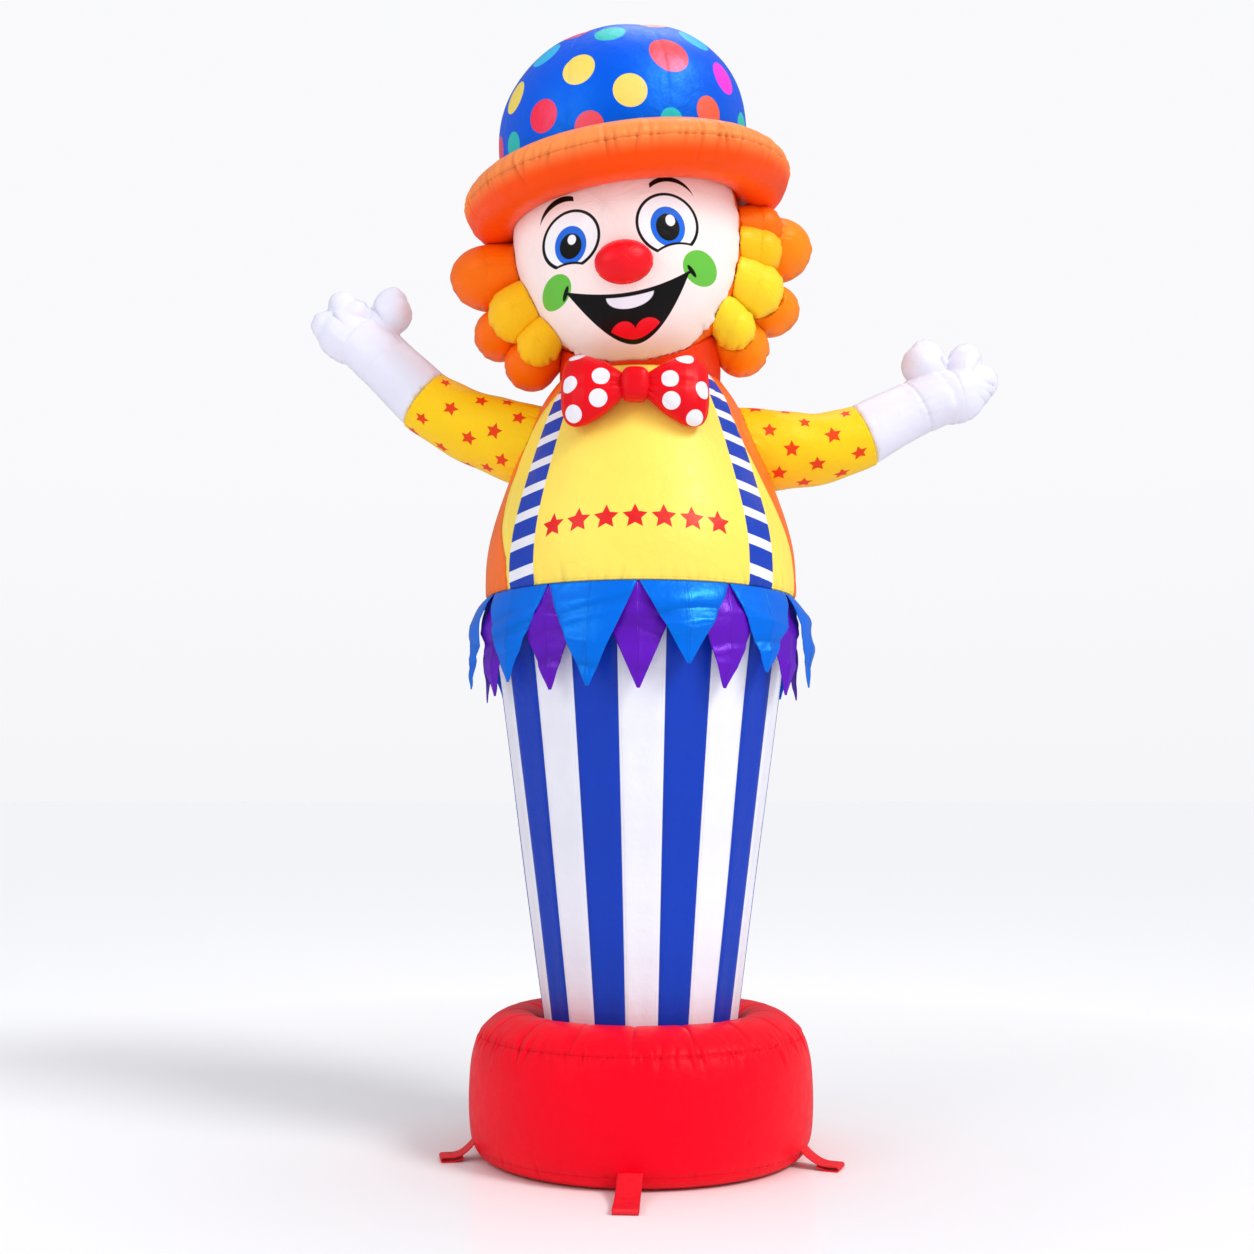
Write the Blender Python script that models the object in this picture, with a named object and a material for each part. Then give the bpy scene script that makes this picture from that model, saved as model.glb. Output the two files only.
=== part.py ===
"""Inflatable air dancer, a clown of sewn and air-filled cloth, about 2.3 m tall.

Metres, +Z up. The front faces -Y. The origin is the middle of the base's underside.
Every inflated piece is one filled solid of its blown-up shape. Each pennant and tether
is a thin sheet.
"""

import math

import bmesh
import bpy
from mathutils import Matrix, Vector

GAP = 0.0003                # between two faces that meet
CLEARANCE = 0.0005          # round a piece that is cut to sit against another

ROUND_STEPS = 40            # facets round the big turned pieces
COLUMN_STEPS = 60           # three for each of the column's 20 stripes
BALL_STEPS, BALL_ROWS = 14, 8       # of the small balls: hair, nose, knot and fingers
CREASE = math.radians(40)   # edges sharper than this stay sharp

# The outlines below run from the axis out and up, as radius and height.
BASE_WELL_FLOOR = 0.190     # the column stands on it
BASE_OUTLINE = (
    # radius, height
    (0.300, 0.000),
    (0.326, 0.011),
    (0.341, 0.040),
    (0.3465, 0.090),
    (0.3465, 0.145),
    (0.3420, 0.195),
    (0.3280, 0.238),
    (0.3070, 0.262),
    (0.2780, 0.279),
    (0.2500, 0.283),
    (0.2250, 0.278),
    (0.2065, 0.264),
    (0.1985, 0.244),
    (0.1885, BASE_WELL_FLOOR),
)

COLUMN_FOOT = BASE_WELL_FLOOR + GAP
BELT_HEIGHT = 1.120         # seam between column and torso
COLUMN_FOOT_RADIUS = 0.1870
COLUMN_TOP_RADIUS = 0.3155
COLUMN_ROWS = 4

SHOULDER_HEIGHT = 1.580     # seam between torso and neck
TORSO_OUTLINE = (
    # radius, height
    (0.3225, BELT_HEIGHT),
    (0.3245, 1.145),
    (0.3235, 1.190),
    (0.3175, 1.235),
    (0.3050, 1.285),
    (0.2890, 1.335),
    (0.2715, 1.385),
    (0.2510, 1.440),
    (0.2305, 1.490),
    (0.2050, 1.540),
    (0.1770, SHOULDER_HEIGHT),
)
NECK_RINGS = (
    # forward shift, height, radius: it leans forward into the head
    (0.000, SHOULDER_HEIGHT + GAP, 0.172),
    (0.022, 1.620, 0.170),
    (0.060, 1.665, 0.158),
    (0.105, 1.710, 0.130),
    (0.120, 1.740, 0.090),
)

HEAD_CENTRE = Vector((-0.026, -0.120, 1.860))
HEAD_SEMI_AXES = (0.237, 0.228, 0.2785)
HEAD_ROLL = math.radians(-8)        # the top leans to -X
HEAD_STEPS, HEAD_ROWS = 32, 18

HAT_CENTRE = Vector((-0.027, -0.120, 1.957))
HAT_ROLL = math.radians(-7.2)
HAT_PITCH = math.radians(3.5)       # the front is lower
BRIM_UNDERSIDE = -0.029             # the head ends under it
BRIM_TOP = 0.043                    # the crown stands on it
BRIM_OUTLINE = (
    # radius, height above the brim's middle
    (0.214, BRIM_UNDERSIDE),
    (0.233, -0.046),
    (0.256, -0.056),
    (0.282, -0.058),
    (0.308, -0.050),
    (0.328, -0.031),
    (0.3395, 0.000),
    (0.331, 0.024),
    (0.312, 0.040),
    (0.289, 0.046),
    (0.268, BRIM_TOP),
)
CROWN_MIDDLE = 0.110                # height of its widest ring above the brim's middle
CROWN_RADIUS = 0.2585
CROWN_RISE = 0.217                  # of the dome above that ring
CROWN_ROUNDNESS = 0.86              # under 1, the dome is fuller than an ellipse
CROWN_LEAN = 0.06                   # it stands more upright than the brim
CROWN_ROWS = 8

NOSE_CENTRE = Vector((-0.034, -0.345, 1.733))
NOSE_SEMI_AXES = (0.057, 0.042, 0.0425)

KNOT_CENTRE = Vector((-0.012, -0.268, 1.513))
KNOT_SEMI_AXES = (0.0285, 0.028, 0.034)
BOW_TURN = math.radians(17)         # each lobe bends back round the neck
BOW_LEAN = math.radians(-12)        # the foot of the bow stands out on the chest
BOW_LOBE = (
    # distance from the knot, half height, half depth
    (0.000, 0.024, 0.016),
    (0.016, 0.037, 0.024),
    (0.040, 0.055, 0.033),
    (0.070, 0.071, 0.037),
    (0.095, 0.077, 0.034),
    (0.114, 0.070, 0.026),
    (0.125, 0.050, 0.013),
)
BOW_STEPS = 16
BOW_START = 0.8             # share of the knot's half width at which the lobes start

ARM_STEPS = 24
CUFF_ROW = 5                # the sleeve ends and the glove starts here
LEFT_ARM = (
    # x, z, radius: from inside the shoulder out to the hand
    (-0.190, 1.436, 0.0930),
    (-0.250, 1.458, 0.0886),
    (-0.300, 1.474, 0.0825),
    (-0.353, 1.493, 0.0770),
    (-0.408, 1.520, 0.0725),
    (-0.460, 1.554, 0.0690),
    (-0.511, 1.603, 0.0660),
    (-0.558, 1.648, 0.0620),
    (-0.603, 1.688, 0.0570),
)
RIGHT_ARM = (
    # x, z, radius
    (0.190, 1.440, 0.0930),
    (0.249, 1.445, 0.0890),
    (0.306, 1.444, 0.0825),
    (0.366, 1.446, 0.0770),
    (0.421, 1.457, 0.0720),
    (0.475, 1.477, 0.0680),
    (0.533, 1.509, 0.0640),
    (0.597, 1.540, 0.0600),
    (0.645, 1.562, 0.0580),
)
LEFT_HAND = (
    # part, x, y, z, semi-axes along, across and front to back, turn in degrees
    ("palm", -0.628, 0.000, 1.696, 0.068, 0.060, 0.050, 136),
    ("finger_low", -0.667, 0.000, 1.713, 0.040, 0.034, 0.036, 160),
    ("finger_high", -0.632, 0.000, 1.744, 0.050, 0.036, 0.038, 118),
    ("thumb", -0.540, 0.000, 1.742, 0.062, 0.038, 0.040, 75),
)
RIGHT_HAND = (
    # part, x, y, z, semi-axes along, across and front to back, turn in degrees
    ("palm", 0.674, 0.000, 1.566, 0.070, 0.063, 0.050, 25),
    ("finger_low", 0.722, 0.000, 1.590, 0.045, 0.040, 0.038, 20),
    ("finger_high", 0.693, 0.000, 1.627, 0.052, 0.038, 0.040, 70),
    ("thumb", 0.614, 0.000, 1.630, 0.058, 0.042, 0.042, 100),
)

HAIR_REACH = 0.20           # lobes further apart than this can't touch
ORANGE, AMBER, YELLOW = "orange", "amber", "yellow"
HAIR = (
    # name, colour, centre's x, y and z, half width, half depth, half height
    ("hair_left_1", ORANGE, -0.316, -0.045, 1.806, 0.083, 0.082, 0.065),
    ("hair_left_2", ORANGE, -0.301, -0.020, 1.689, 0.050, 0.078, 0.050),
    ("hair_left_3", ORANGE, -0.232, -0.025, 1.624, 0.054, 0.075, 0.052),
    ("hair_left_4", AMBER, -0.258, -0.105, 1.708, 0.056, 0.058, 0.056),
    ("hair_left_5", AMBER, -0.211, -0.115, 1.641, 0.043, 0.046, 0.043),
    ("hair_right_1", ORANGE, 0.290, -0.030, 1.873, 0.073, 0.082, 0.063),
    ("hair_right_2", ORANGE, 0.251, -0.100, 1.893, 0.046, 0.050, 0.046),
    ("hair_right_3", AMBER, 0.247, -0.115, 1.839, 0.046, 0.050, 0.046),
    ("hair_right_4", YELLOW, 0.241, -0.105, 1.761, 0.055, 0.058, 0.055),
    ("hair_right_5", ORANGE, 0.275, -0.020, 1.744, 0.062, 0.078, 0.051),
    ("hair_right_6", YELLOW, 0.193, -0.120, 1.674, 0.043, 0.046, 0.043),
    ("hair_right_7", ORANGE, 0.216, -0.030, 1.657, 0.055, 0.075, 0.055),
)

PENNANTS = 11               # in each of the two layers
PENNANT_THICKNESS = 0.0012
PENNANT_TOP = BELT_HEIGHT - GAP
PENNANT_PITCH = math.tau / PENNANTS
PENNANT_HALF_ANGLE = PENNANT_PITCH / 2 - 0.0035
PENNANT_TIP_SHARE = 0.03    # width left at the tip
PENNANT_ROWS, PENNANT_COLUMNS = 5, 4
FRONT_TURN = math.radians(-1.2)     # where the front purple pennant hangs
PURPLE_RADIUS, BLUE_RADIUS = 0.3174, 0.3206
PURPLE_LAYER = (
    # drop, flare, swing in degrees, ridge, how soon below the belt it reaches its flare
    (0.206, 0.012, 0.0, 0.004, 3),
    (0.204, 0.012, -3.0, 0.004, 3),
    (0.209, 0.013, 0.5, 0.003, 3),
    (0.206, 0.012, -1.0, 0.004, 3),
    (0.210, 0.011, 1.0, 0.004, 3),
    (0.202, 0.012, 0.0, 0.003, 3),
    (0.212, 0.011, -1.0, 0.004, 3),
    (0.205, 0.013, 1.0, 0.004, 3),
    (0.210, 0.012, 0.0, 0.003, 3),
    (0.210, 0.013, -0.5, 0.004, 3),
    (0.206, 0.012, 1.8, 0.004, 3),
)
BLUE_LAYER = (
    # drop, flare, swing in degrees, ridge, how soon below the belt it reaches its flare
    (0.202, 0.021, 0.0, 0.005, 3),
    (0.161, 0.025, -0.5, 0.005, 3),
    (0.170, 0.023, -3.5, 0.004, 3),
    (0.188, 0.024, 2.0, 0.004, 3),
    (0.196, 0.022, 1.0, 0.005, 3),
    (0.186, 0.023, -1.5, 0.004, 3),
    (0.200, 0.021, 0.5, 0.005, 3),
    (0.178, 0.025, 1.5, 0.004, 3),
    (0.192, 0.022, -1.0, 0.005, 3),
    (0.190, 0.024, -2.0, 0.004, 8),
    (0.187, 0.022, 1.0, 0.005, 3),
)

TETHER_WIDTH = 0.046
TETHER_THICKNESS = 0.0025
TETHERS = (
    # angle from the front towards +X in degrees, distance of the tip from the axis
    (-3.8, 0.474),
    (68.0, 0.414),
    (144.0, 0.440),
    (-148.0, 0.440),
    (-79.0, 0.404),
)
TETHER_ROOT = (0.331, 0.040)        # radius and height, just inside the base's side
TETHER_RUN_STEPS = 6
TETHER_LOOP_LENGTH = 0.050          # of the folded end, outside
TETHER_LOOP_HOLE = 0.006            # clear height inside it
ARC_STEPS = 6


def cloth(name, colour, roughness=0.45):
    """A piece's own material, with its colour as linear red, green and blue."""
    material = bpy.data.materials.new(name)
    material.use_nodes = True
    shader = material.node_tree.nodes["Principled BSDF"]
    shader.inputs["Base Color"].default_value = (*colour, 1.0)
    shader.inputs["Roughness"].default_value = roughness
    shader.inputs["Metallic"].default_value = 0.0
    return material


COLOURS = {
    "red": (0.85, 0.005, 0.02),
    "blue": (0.005, 0.06, 0.55),
    "sky": (0.005, 0.28, 0.85),
    "purple": (0.10, 0.015, 0.42),
    "sun": (0.95, 0.62, 0.02),
    "yellow": (0.95, 0.50, 0.02),
    "amber": (0.95, 0.35, 0.01),
    "orange": (0.90, 0.10, 0.005),
    "skin": (0.92, 0.62, 0.56),
    "white": (0.85, 0.85, 0.90),
}


def finish(name, bm, colour):
    """Turns a bmesh into an object with outward faces, round faces shaded smooth."""
    bmesh.ops.recalc_face_normals(bm, faces=bm.faces)
    mesh = bpy.data.meshes.new(name)
    bm.to_mesh(mesh)
    bm.free()
    mesh.shade_smooth()
    mesh.set_sharp_from_angle(angle=CREASE)
    piece = bpy.data.objects.new(name, mesh)
    bpy.context.scene.collection.objects.link(piece)
    mesh.materials.append(cloth(name, COLOURS[colour]))
    return piece


def loft(bm, rings):
    """Skins closed rings of equal length, and closes both ends with a flat face or a point."""
    rows = [[bm.verts.new(point) for point in ring] for ring in rings]
    for lower, upper in zip(rows, rows[1:]):
        steps = max(len(lower), len(upper))
        for i in range(steps):
            j = (i + 1) % steps
            corners = [lower[i % len(lower)], lower[j % len(lower)]]
            corners += [upper[j % len(upper)], upper[i % len(upper)]]
            bm.faces.new(dict.fromkeys(corners))
    for end in (rows[0], rows[-1]):
        if len(end) > 1:
            bm.faces.new(end)


def circle(radius, height, steps):
    """A level ring of points round the Z axis, from the front round to +X."""
    turns = (math.tau * i / steps for i in range(steps))
    return [Vector((radius * math.sin(a), -radius * math.cos(a), height)) for a in turns]


def turned(name, outline, colour, steps=ROUND_STEPS, place=None):
    """A piece turned round the Z axis, then moved to its place."""
    bm = bmesh.new()
    loft(bm, [circle(radius, height, steps) for radius, height in outline])
    if place is not None:
        bm.transform(place)
    return finish(name, bm, colour)


def ball(bm, centre, semi_axes, turn=None, steps=BALL_STEPS, rows=BALL_ROWS):
    """An ellipsoid, turned about its own centre. Returns its vertices."""
    place = Matrix.Translation(centre) @ (turn or Matrix.Identity(4)) @ Matrix.Diagonal((*semi_axes, 1.0))
    made = bmesh.ops.create_uvsphere(bm, u_segments=steps, v_segments=rows, radius=1.0, matrix=place)
    return made["verts"]


def as_cutter(piece):
    """A copy of a piece, swollen by the clearance, that cuts the room for it in its neighbours."""
    cutter = piece.copy()
    cutter.data = piece.data.copy()
    cutter.name = piece.name + "_room"
    bm = bmesh.new()
    bm.from_mesh(cutter.data)
    shifts = [(vert, vert.normal * CLEARANCE) for vert in bm.verts]
    for vert, shift in shifts:
        vert.co += shift
    bm.to_mesh(cutter.data)
    bm.free()
    cutter.modifiers.clear()
    cutter.hide_render = True
    cutter.display_type = "WIRE"
    bpy.context.scene.collection.objects.link(cutter)
    return cutter


def cut(piece, cutter):
    """Takes the cutter's shape out of the piece."""
    room = piece.modifiers.new("Room for " + cutter.name, "BOOLEAN")
    room.operation = "DIFFERENCE"
    room.solver = "EXACT"
    room.object = cutter


def base():
    """The cushion that the air dancer stands on, with a well for the column."""
    return turned("base", BASE_OUTLINE, "red")


def column():
    """The tapered tube of twenty sewn stripes."""
    rise = BELT_HEIGHT - GAP - COLUMN_FOOT
    growth = COLUMN_TOP_RADIUS - COLUMN_FOOT_RADIUS
    shares = [row / COLUMN_ROWS for row in range(COLUMN_ROWS + 1)]
    outline = [(COLUMN_FOOT_RADIUS + growth * share, COLUMN_FOOT + rise * share) for share in shares]
    return turned("column", outline, "blue", COLUMN_STEPS)


def torso():
    """The bell-shaped body."""
    return turned("torso", TORSO_OUTLINE, "sun")


def neck(head_room):
    """The short tube that leans forward from the body, dished to hold the head."""
    bm = bmesh.new()
    rings = []
    for forward, height, radius in NECK_RINGS:
        ring = circle(radius, height, ROUND_STEPS)
        rings.append([point + Vector((0.0, -forward, 0.0)) for point in ring])
    loft(bm, rings)
    piece = finish("neck", bm, "orange")
    cut(piece, head_room)
    return piece


def hat_place():
    """From the hat's own frame, with its brim's middle at zero, to the world."""
    return (
        Matrix.Translation(HAT_CENTRE)
        @ Matrix.Rotation(HAT_ROLL, 4, "Y")
        @ Matrix.Rotation(HAT_PITCH, 4, "X")
    )


def head():
    """The filled ball of the head, flat on top where the hat sits."""
    bm = bmesh.new()
    roll = Matrix.Rotation(HEAD_ROLL, 4, "Y")
    ball(bm, HEAD_CENTRE, HEAD_SEMI_AXES, roll, HEAD_STEPS, HEAD_ROWS)
    place = hat_place()
    seat = place @ Vector((0.0, 0.0, BRIM_UNDERSIDE - GAP))
    up = place.to_3x3() @ Vector((0.0, 0.0, 1.0))
    geometry = bm.verts[:] + bm.edges[:] + bm.faces[:]
    made = bmesh.ops.bisect_plane(bm, geom=geometry, plane_co=seat, plane_no=up, clear_outer=True)
    rim = [item for item in made["geom_cut"] if isinstance(item, bmesh.types.BMEdge)]
    bmesh.ops.contextual_create(bm, geom=rim)
    return finish("head", bm, "skin")


def brim(head_room):
    """The fat inflated brim, one filled disc with a rounded rim, dished under for the head."""
    piece = turned("hat_brim", BRIM_OUTLINE, "orange", place=hat_place())
    cut(piece, head_room)
    return piece


def crown():
    """The hat's dome."""
    foot = BRIM_TOP + GAP
    start = -math.asin(((CROWN_MIDDLE - foot) / CROWN_RISE) ** (1.0 / CROWN_ROUNDNESS))
    rings = []
    for row in range(CROWN_ROWS + 1):
        angle = start + (math.pi / 2 - start) * row / CROWN_ROWS
        rise = math.copysign(abs(math.sin(angle)) ** CROWN_ROUNDNESS, angle)
        height = CROWN_MIDDLE + CROWN_RISE * rise
        radius = CROWN_RADIUS * max(math.cos(angle), 0.0) ** CROWN_ROUNDNESS
        shift = Vector((CROWN_LEAN * (height - foot), 0.0, 0.0))
        ring = circle(radius, height, ROUND_STEPS if row < CROWN_ROWS else 1)
        rings.append([point + shift for point in ring])
    bm = bmesh.new()
    loft(bm, rings)
    bm.transform(hat_place())
    return finish("hat_crown", bm, "blue")


def nose(head_room):
    """The red ball sewn on the face."""
    bm = bmesh.new()
    ball(bm, NOSE_CENTRE, NOSE_SEMI_AXES)
    piece = finish("nose", bm, "red")
    cut(piece, head_room)
    return piece


def bow_tie(rooms):
    """The knot and the two lobes of the bow tie, seated on the chest."""
    bm = bmesh.new()
    ball(bm, KNOT_CENTRE, KNOT_SEMI_AXES)
    knot = finish("bow_knot", bm, "red")
    knot_room = as_cutter(knot)
    for side, name in ((-1, "bow_left"), (1, "bow_right")):
        rings = []
        for distance, half_height, half_depth in BOW_LOBE:
            turns = [math.tau * i / BOW_STEPS for i in range(BOW_STEPS)]
            points = [(half_depth * math.cos(a), half_height * math.sin(a)) for a in turns]
            rings.append([Vector((side * distance, y, z)) for y, z in points])
        bm = bmesh.new()
        loft(bm, rings)
        start = KNOT_CENTRE + Vector((side * KNOT_SEMI_AXES[0] * BOW_START, 0.0, 0.0))
        turn = Matrix.Rotation(BOW_LEAN, 4, "X") @ Matrix.Rotation(side * BOW_TURN, 4, "Z")
        bm.transform(Matrix.Translation(start) @ turn)
        lobe = finish(name, bm, "red")
        for room in (knot_room, *rooms):
            cut(lobe, room)
    for room in rooms:
        cut(knot, room)


def arm_ring(rows, index, shift=0.0):
    """One ring of an arm, square to its run in the X-Z plane, pushed along it by shift."""
    x, z, radius = rows[index]
    before, after = rows[max(index - 1, 0)], rows[min(index + 1, len(rows) - 1)]
    run = Vector((after[0] - before[0], 0.0, after[1] - before[1])).normalized()
    across = Vector((-run.z, 0.0, run.x))
    middle = Vector((x, 0.0, z)) + run * shift
    turns = (math.tau * i / ARM_STEPS for i in range(ARM_STEPS))
    depth = Vector((0.0, 1.0, 0.0))
    return [middle + radius * (across * math.cos(a) + depth * math.sin(a)) for a in turns]


def sleeve(name, rows, torso_room):
    """The sleeve, from the shoulder seam to the cuff."""
    bm = bmesh.new()
    loft(bm, [arm_ring(rows, index) for index in range(CUFF_ROW + 1)])
    piece = finish(name, bm, "sun")
    cut(piece, torso_room)
    return piece


def glove(name, rows, hand):
    """The white forearm and its mitten hand, joined into one filled piece."""
    bm = bmesh.new()
    rings = [arm_ring(rows, CUFF_ROW, GAP + CLEARANCE)]
    rings += [arm_ring(rows, index) for index in range(CUFF_ROW + 1, len(rows))]
    loft(bm, rings)
    piece = finish(name, bm, "white")
    for part, x, y, z, along, across, depth, degrees in hand:
        bm = bmesh.new()
        turn = Matrix.Rotation(-math.radians(degrees), 4, "Y")
        ball(bm, Vector((x, y, z)), (along, depth, across), turn)
        finger = finish(name + "_" + part, bm, "white")
        finger.hide_render = True
        finger.display_type = "WIRE"
        join = piece.modifiers.new("Join " + part, "BOOLEAN")
        join.operation = "UNION"
        join.solver = "EXACT"
        join.object = finger
    return piece


def hair(rooms):
    """The curls, each one inflated lobe, pressed against the head, the hat and each other."""
    made = []
    for name, colour, x, y, z, *semi_axes in HAIR:
        bm = bmesh.new()
        ball(bm, Vector((x, y, z)), semi_axes)
        lobe = finish(name, bm, colour)
        for room in rooms:
            cut(lobe, room)
        for other, other_room in made:
            if (Vector((x, y, z)) - other).length < HAIR_REACH:
                cut(lobe, other_room)
        made.append((Vector((x, y, z)), as_cutter(lobe)))


def pennant(name, centre, radius, shape, colour):
    """One pointed flag: its wide end is caught in the belt seam and its tip hangs free."""
    drop, flare, swing, ridge, spread = shape
    faces = []
    for side in (-0.5, 0.5):
        sheet = []
        for row in range(PENNANT_ROWS + 1):
            fall = row / PENNANT_ROWS
            width = 1.0 - fall * (1.0 - PENNANT_TIP_SHARE)
            line = []
            for column_index in range(PENNANT_COLUMNS + 1):
                across = 2.0 * column_index / PENNANT_COLUMNS - 1.0
                angle = centre + math.radians(swing) * fall**2 + PENNANT_HALF_ANGLE * across * width
                lift = flare * (1.0 - (1.0 - fall) ** spread)
                lift += ridge * (1.0 - abs(across)) * math.sin(fall * math.pi)
                reach = radius + lift + side * PENNANT_THICKNESS
                height = PENNANT_TOP - drop * fall
                line.append(Vector((reach * math.sin(angle), -reach * math.cos(angle), height)))
            sheet.append(line)
        faces.append(sheet)
    bm = bmesh.new()
    back, front = ([[bm.verts.new(point) for point in line] for line in sheet] for sheet in faces)
    for sheet in (back, front):
        for upper, lower in zip(sheet, sheet[1:]):
            for i in range(PENNANT_COLUMNS):
                bm.faces.new((upper[i], upper[i + 1], lower[i + 1], lower[i]))
    rims = []
    for sheet in (back, front):
        right = [line[-1] for line in sheet]
        left = [line[0] for line in sheet]
        rims.append(sheet[0] + right[1:] + sheet[-1][-2::-1] + left[-2:0:-1])
    steps = len(rims[0])
    for i in range(steps):
        j = (i + 1) % steps
        bm.faces.new((rims[0][i], rims[0][j], rims[1][j], rims[1][i]))
    return finish(name, bm, colour)


def pennants():
    """Two layers of eleven flags round the belt, the blue ones over the gaps of the purple."""
    for index in range(PENNANTS):
        purple_turn = FRONT_TURN + index * PENNANT_PITCH
        blue_turn = purple_turn - PENNANT_PITCH / 2
        pennant(f"pennant_purple_{index + 1}", purple_turn, PURPLE_RADIUS, PURPLE_LAYER[index], "purple")
        pennant(f"pennant_blue_{index + 1}", blue_turn, BLUE_RADIUS, BLUE_LAYER[index], "sky")


def strap_outline(middles, thickness):
    """The closed outline of a strap's edge, from the points along its middle."""
    left, right = [], []
    for index, (radius, height) in enumerate(middles):
        before = middles[max(index - 1, 0)]
        after = middles[min(index + 1, len(middles) - 1)]
        run = Vector((after[0] - before[0], after[1] - before[1])).normalized()
        out = Vector((-run.y, run.x)) * thickness / 2
        left.append((radius + out.x, height + out.y))
        right.append((radius - out.x, height - out.y))
    return left + right[::-1]


def prism(name, outline, angle, width):
    """An outline of radius and height, made as wide as the strap and turned to its place."""
    bm = bmesh.new()
    sides = []
    for across in (-width / 2, width / 2):
        sides.append([Vector((across, -radius, height)) for radius, height in outline])
    loft(bm, sides)
    bm.transform(Matrix.Rotation(angle, 4, "Z"))
    return finish(name, bm, "red")


def racetrack(start, end, low, high):
    """A flat loop's outline: straight above and below, round at both ends."""
    radius = (high - low) / 2
    middle = (high + low) / 2
    outline = []
    for centre, first in ((end - radius, -math.pi / 2), (start + radius, math.pi / 2)):
        for step in range(ARC_STEPS + 1):
            angle = first + math.pi * step / ARC_STEPS
            outline.append((centre + radius * math.cos(angle), middle + radius * math.sin(angle)))
    return outline


def tether(name, degrees, tip, base_room):
    """A webbing strap from the base's lower seam, its end folded back under it into a loop."""
    angle = math.radians(degrees)
    height = 2 * TETHER_THICKNESS + TETHER_LOOP_HOLE
    heel = tip - TETHER_LOOP_LENGTH
    landing = (tip + heel) / 2
    top_middle = height - TETHER_THICKNESS / 2
    root_radius, root_height = TETHER_ROOT
    middles = []
    for step in range(TETHER_RUN_STEPS + 1):
        share = step / TETHER_RUN_STEPS
        fall = (root_height - top_middle) * (1.0 - share) ** 2
        middles.append((root_radius + (landing - root_radius) * share, top_middle + fall))
    strap = prism(name, strap_outline(middles, TETHER_THICKNESS), angle, TETHER_WIDTH)
    fold = prism(name + "_fold", racetrack(heel, tip, 0.0, height), angle, TETHER_WIDTH)
    inside = (heel + TETHER_THICKNESS, tip - TETHER_THICKNESS)
    hole_outline = racetrack(*inside, TETHER_THICKNESS, height - TETHER_THICKNESS)
    hole = prism(name + "_hole", hole_outline, angle, 2 * TETHER_WIDTH)
    for helper in (fold, hole):
        helper.hide_render = True
        helper.display_type = "WIRE"
    join = strap.modifiers.new("Fold", "BOOLEAN")
    join.operation = "UNION"
    join.solver = "EXACT"
    join.object = fold
    cut(strap, hole)
    cut(strap, base_room)


for leftover in list(bpy.data.objects):
    bpy.data.objects.remove(leftover)

base_room = as_cutter(base())
column()
torso_room = as_cutter(torso())
head_room = as_cutter(head())
neck_room = as_cutter(neck(head_room))
brim_room = as_cutter(brim(head_room))
crown()
nose(head_room)
bow_tie((torso_room, neck_room))
sleeve("sleeve_left", LEFT_ARM, torso_room)
sleeve("sleeve_right", RIGHT_ARM, torso_room)
glove("glove_left", LEFT_ARM, LEFT_HAND)
glove("glove_right", RIGHT_ARM, RIGHT_HAND)
hair((head_room, neck_room, brim_room, torso_room))
pennants()
for strap_index, (strap_degrees, strap_tip) in enumerate(TETHERS):
    tether(f"tether_{strap_index + 1}", strap_degrees, strap_tip, base_room)
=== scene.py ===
"""The looks of the inflatable air dancer, a clown of sewn and air-filled cloth.

Metres, +Z up, the front faces -Y. Every piece sits where its solid in the frame sits.
"""

import math
import random

import bpy
import numpy as np
from mathutils import Matrix, Vector


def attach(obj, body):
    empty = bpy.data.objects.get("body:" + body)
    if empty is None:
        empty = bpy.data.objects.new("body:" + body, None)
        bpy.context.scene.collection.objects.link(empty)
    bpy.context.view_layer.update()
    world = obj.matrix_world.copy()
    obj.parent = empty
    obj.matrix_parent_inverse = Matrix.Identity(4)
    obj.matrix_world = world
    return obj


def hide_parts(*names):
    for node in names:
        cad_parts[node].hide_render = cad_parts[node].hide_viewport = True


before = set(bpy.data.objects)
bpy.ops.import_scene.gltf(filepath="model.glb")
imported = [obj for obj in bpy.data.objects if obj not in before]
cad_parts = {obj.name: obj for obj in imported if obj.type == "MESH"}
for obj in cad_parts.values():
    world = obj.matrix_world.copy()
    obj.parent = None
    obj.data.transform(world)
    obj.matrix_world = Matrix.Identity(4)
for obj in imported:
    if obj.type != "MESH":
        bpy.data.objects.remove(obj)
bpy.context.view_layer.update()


# The studio. The camera stands 3.13 m in front of the air dancer, at hip height, and looks
# up a little. A wide soft sun stands high on the right, weak lamps on the left and above
# give soft gleams, and the pale sky fills the shadows. The floor is a smooth pale board.
CAMERA_PLACE = (-0.028, -3.13, 0.705)
PHOTO_WIDTH = 1254                          # pixels
FOCAL_LENGTH = 1500                         # in the photograph's pixels
LEVEL_BELOW_MIDDLE = 173                    # pixels from the picture's middle down to eye level
CAMERA_RISE = math.atan(LEVEL_BELOW_MIDDLE / FOCAL_LENGTH)
CAMERA_LENS = 36 * FOCAL_LENGTH / PHOTO_WIDTH       # mm, on a sensor 36 mm wide
FLOOR_RADIUS = 400.0
POLISHED_RADIUS = 2.6                       # within which the floor reflects a little
SUN_SIDE = (0.58, -0.46, 0.67)              # the way towards it
SUN_STRENGTH, SUN_WIDTH = 1.38, math.radians(18)
SKY_STRENGTH, SKY_IN_GLOSS = 0.70, 0.30     # the second is how bright it looks in reflections
WALL_FOOT, WALL_TOP = 0.935, 0.97           # the wall's brightness at the horizon and higher up


def dye(red, green, blue):
    """A colour given as sRGB from 0 to 255, as the linear one that a shader takes."""
    shares = [value / 255 for value in (red, green, blue)]
    linear = [s / 12.92 if s < 0.04045 else ((s + 0.055) / 1.055) ** 2.4 for s in shares]
    return (*linear, 1.0)


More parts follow.
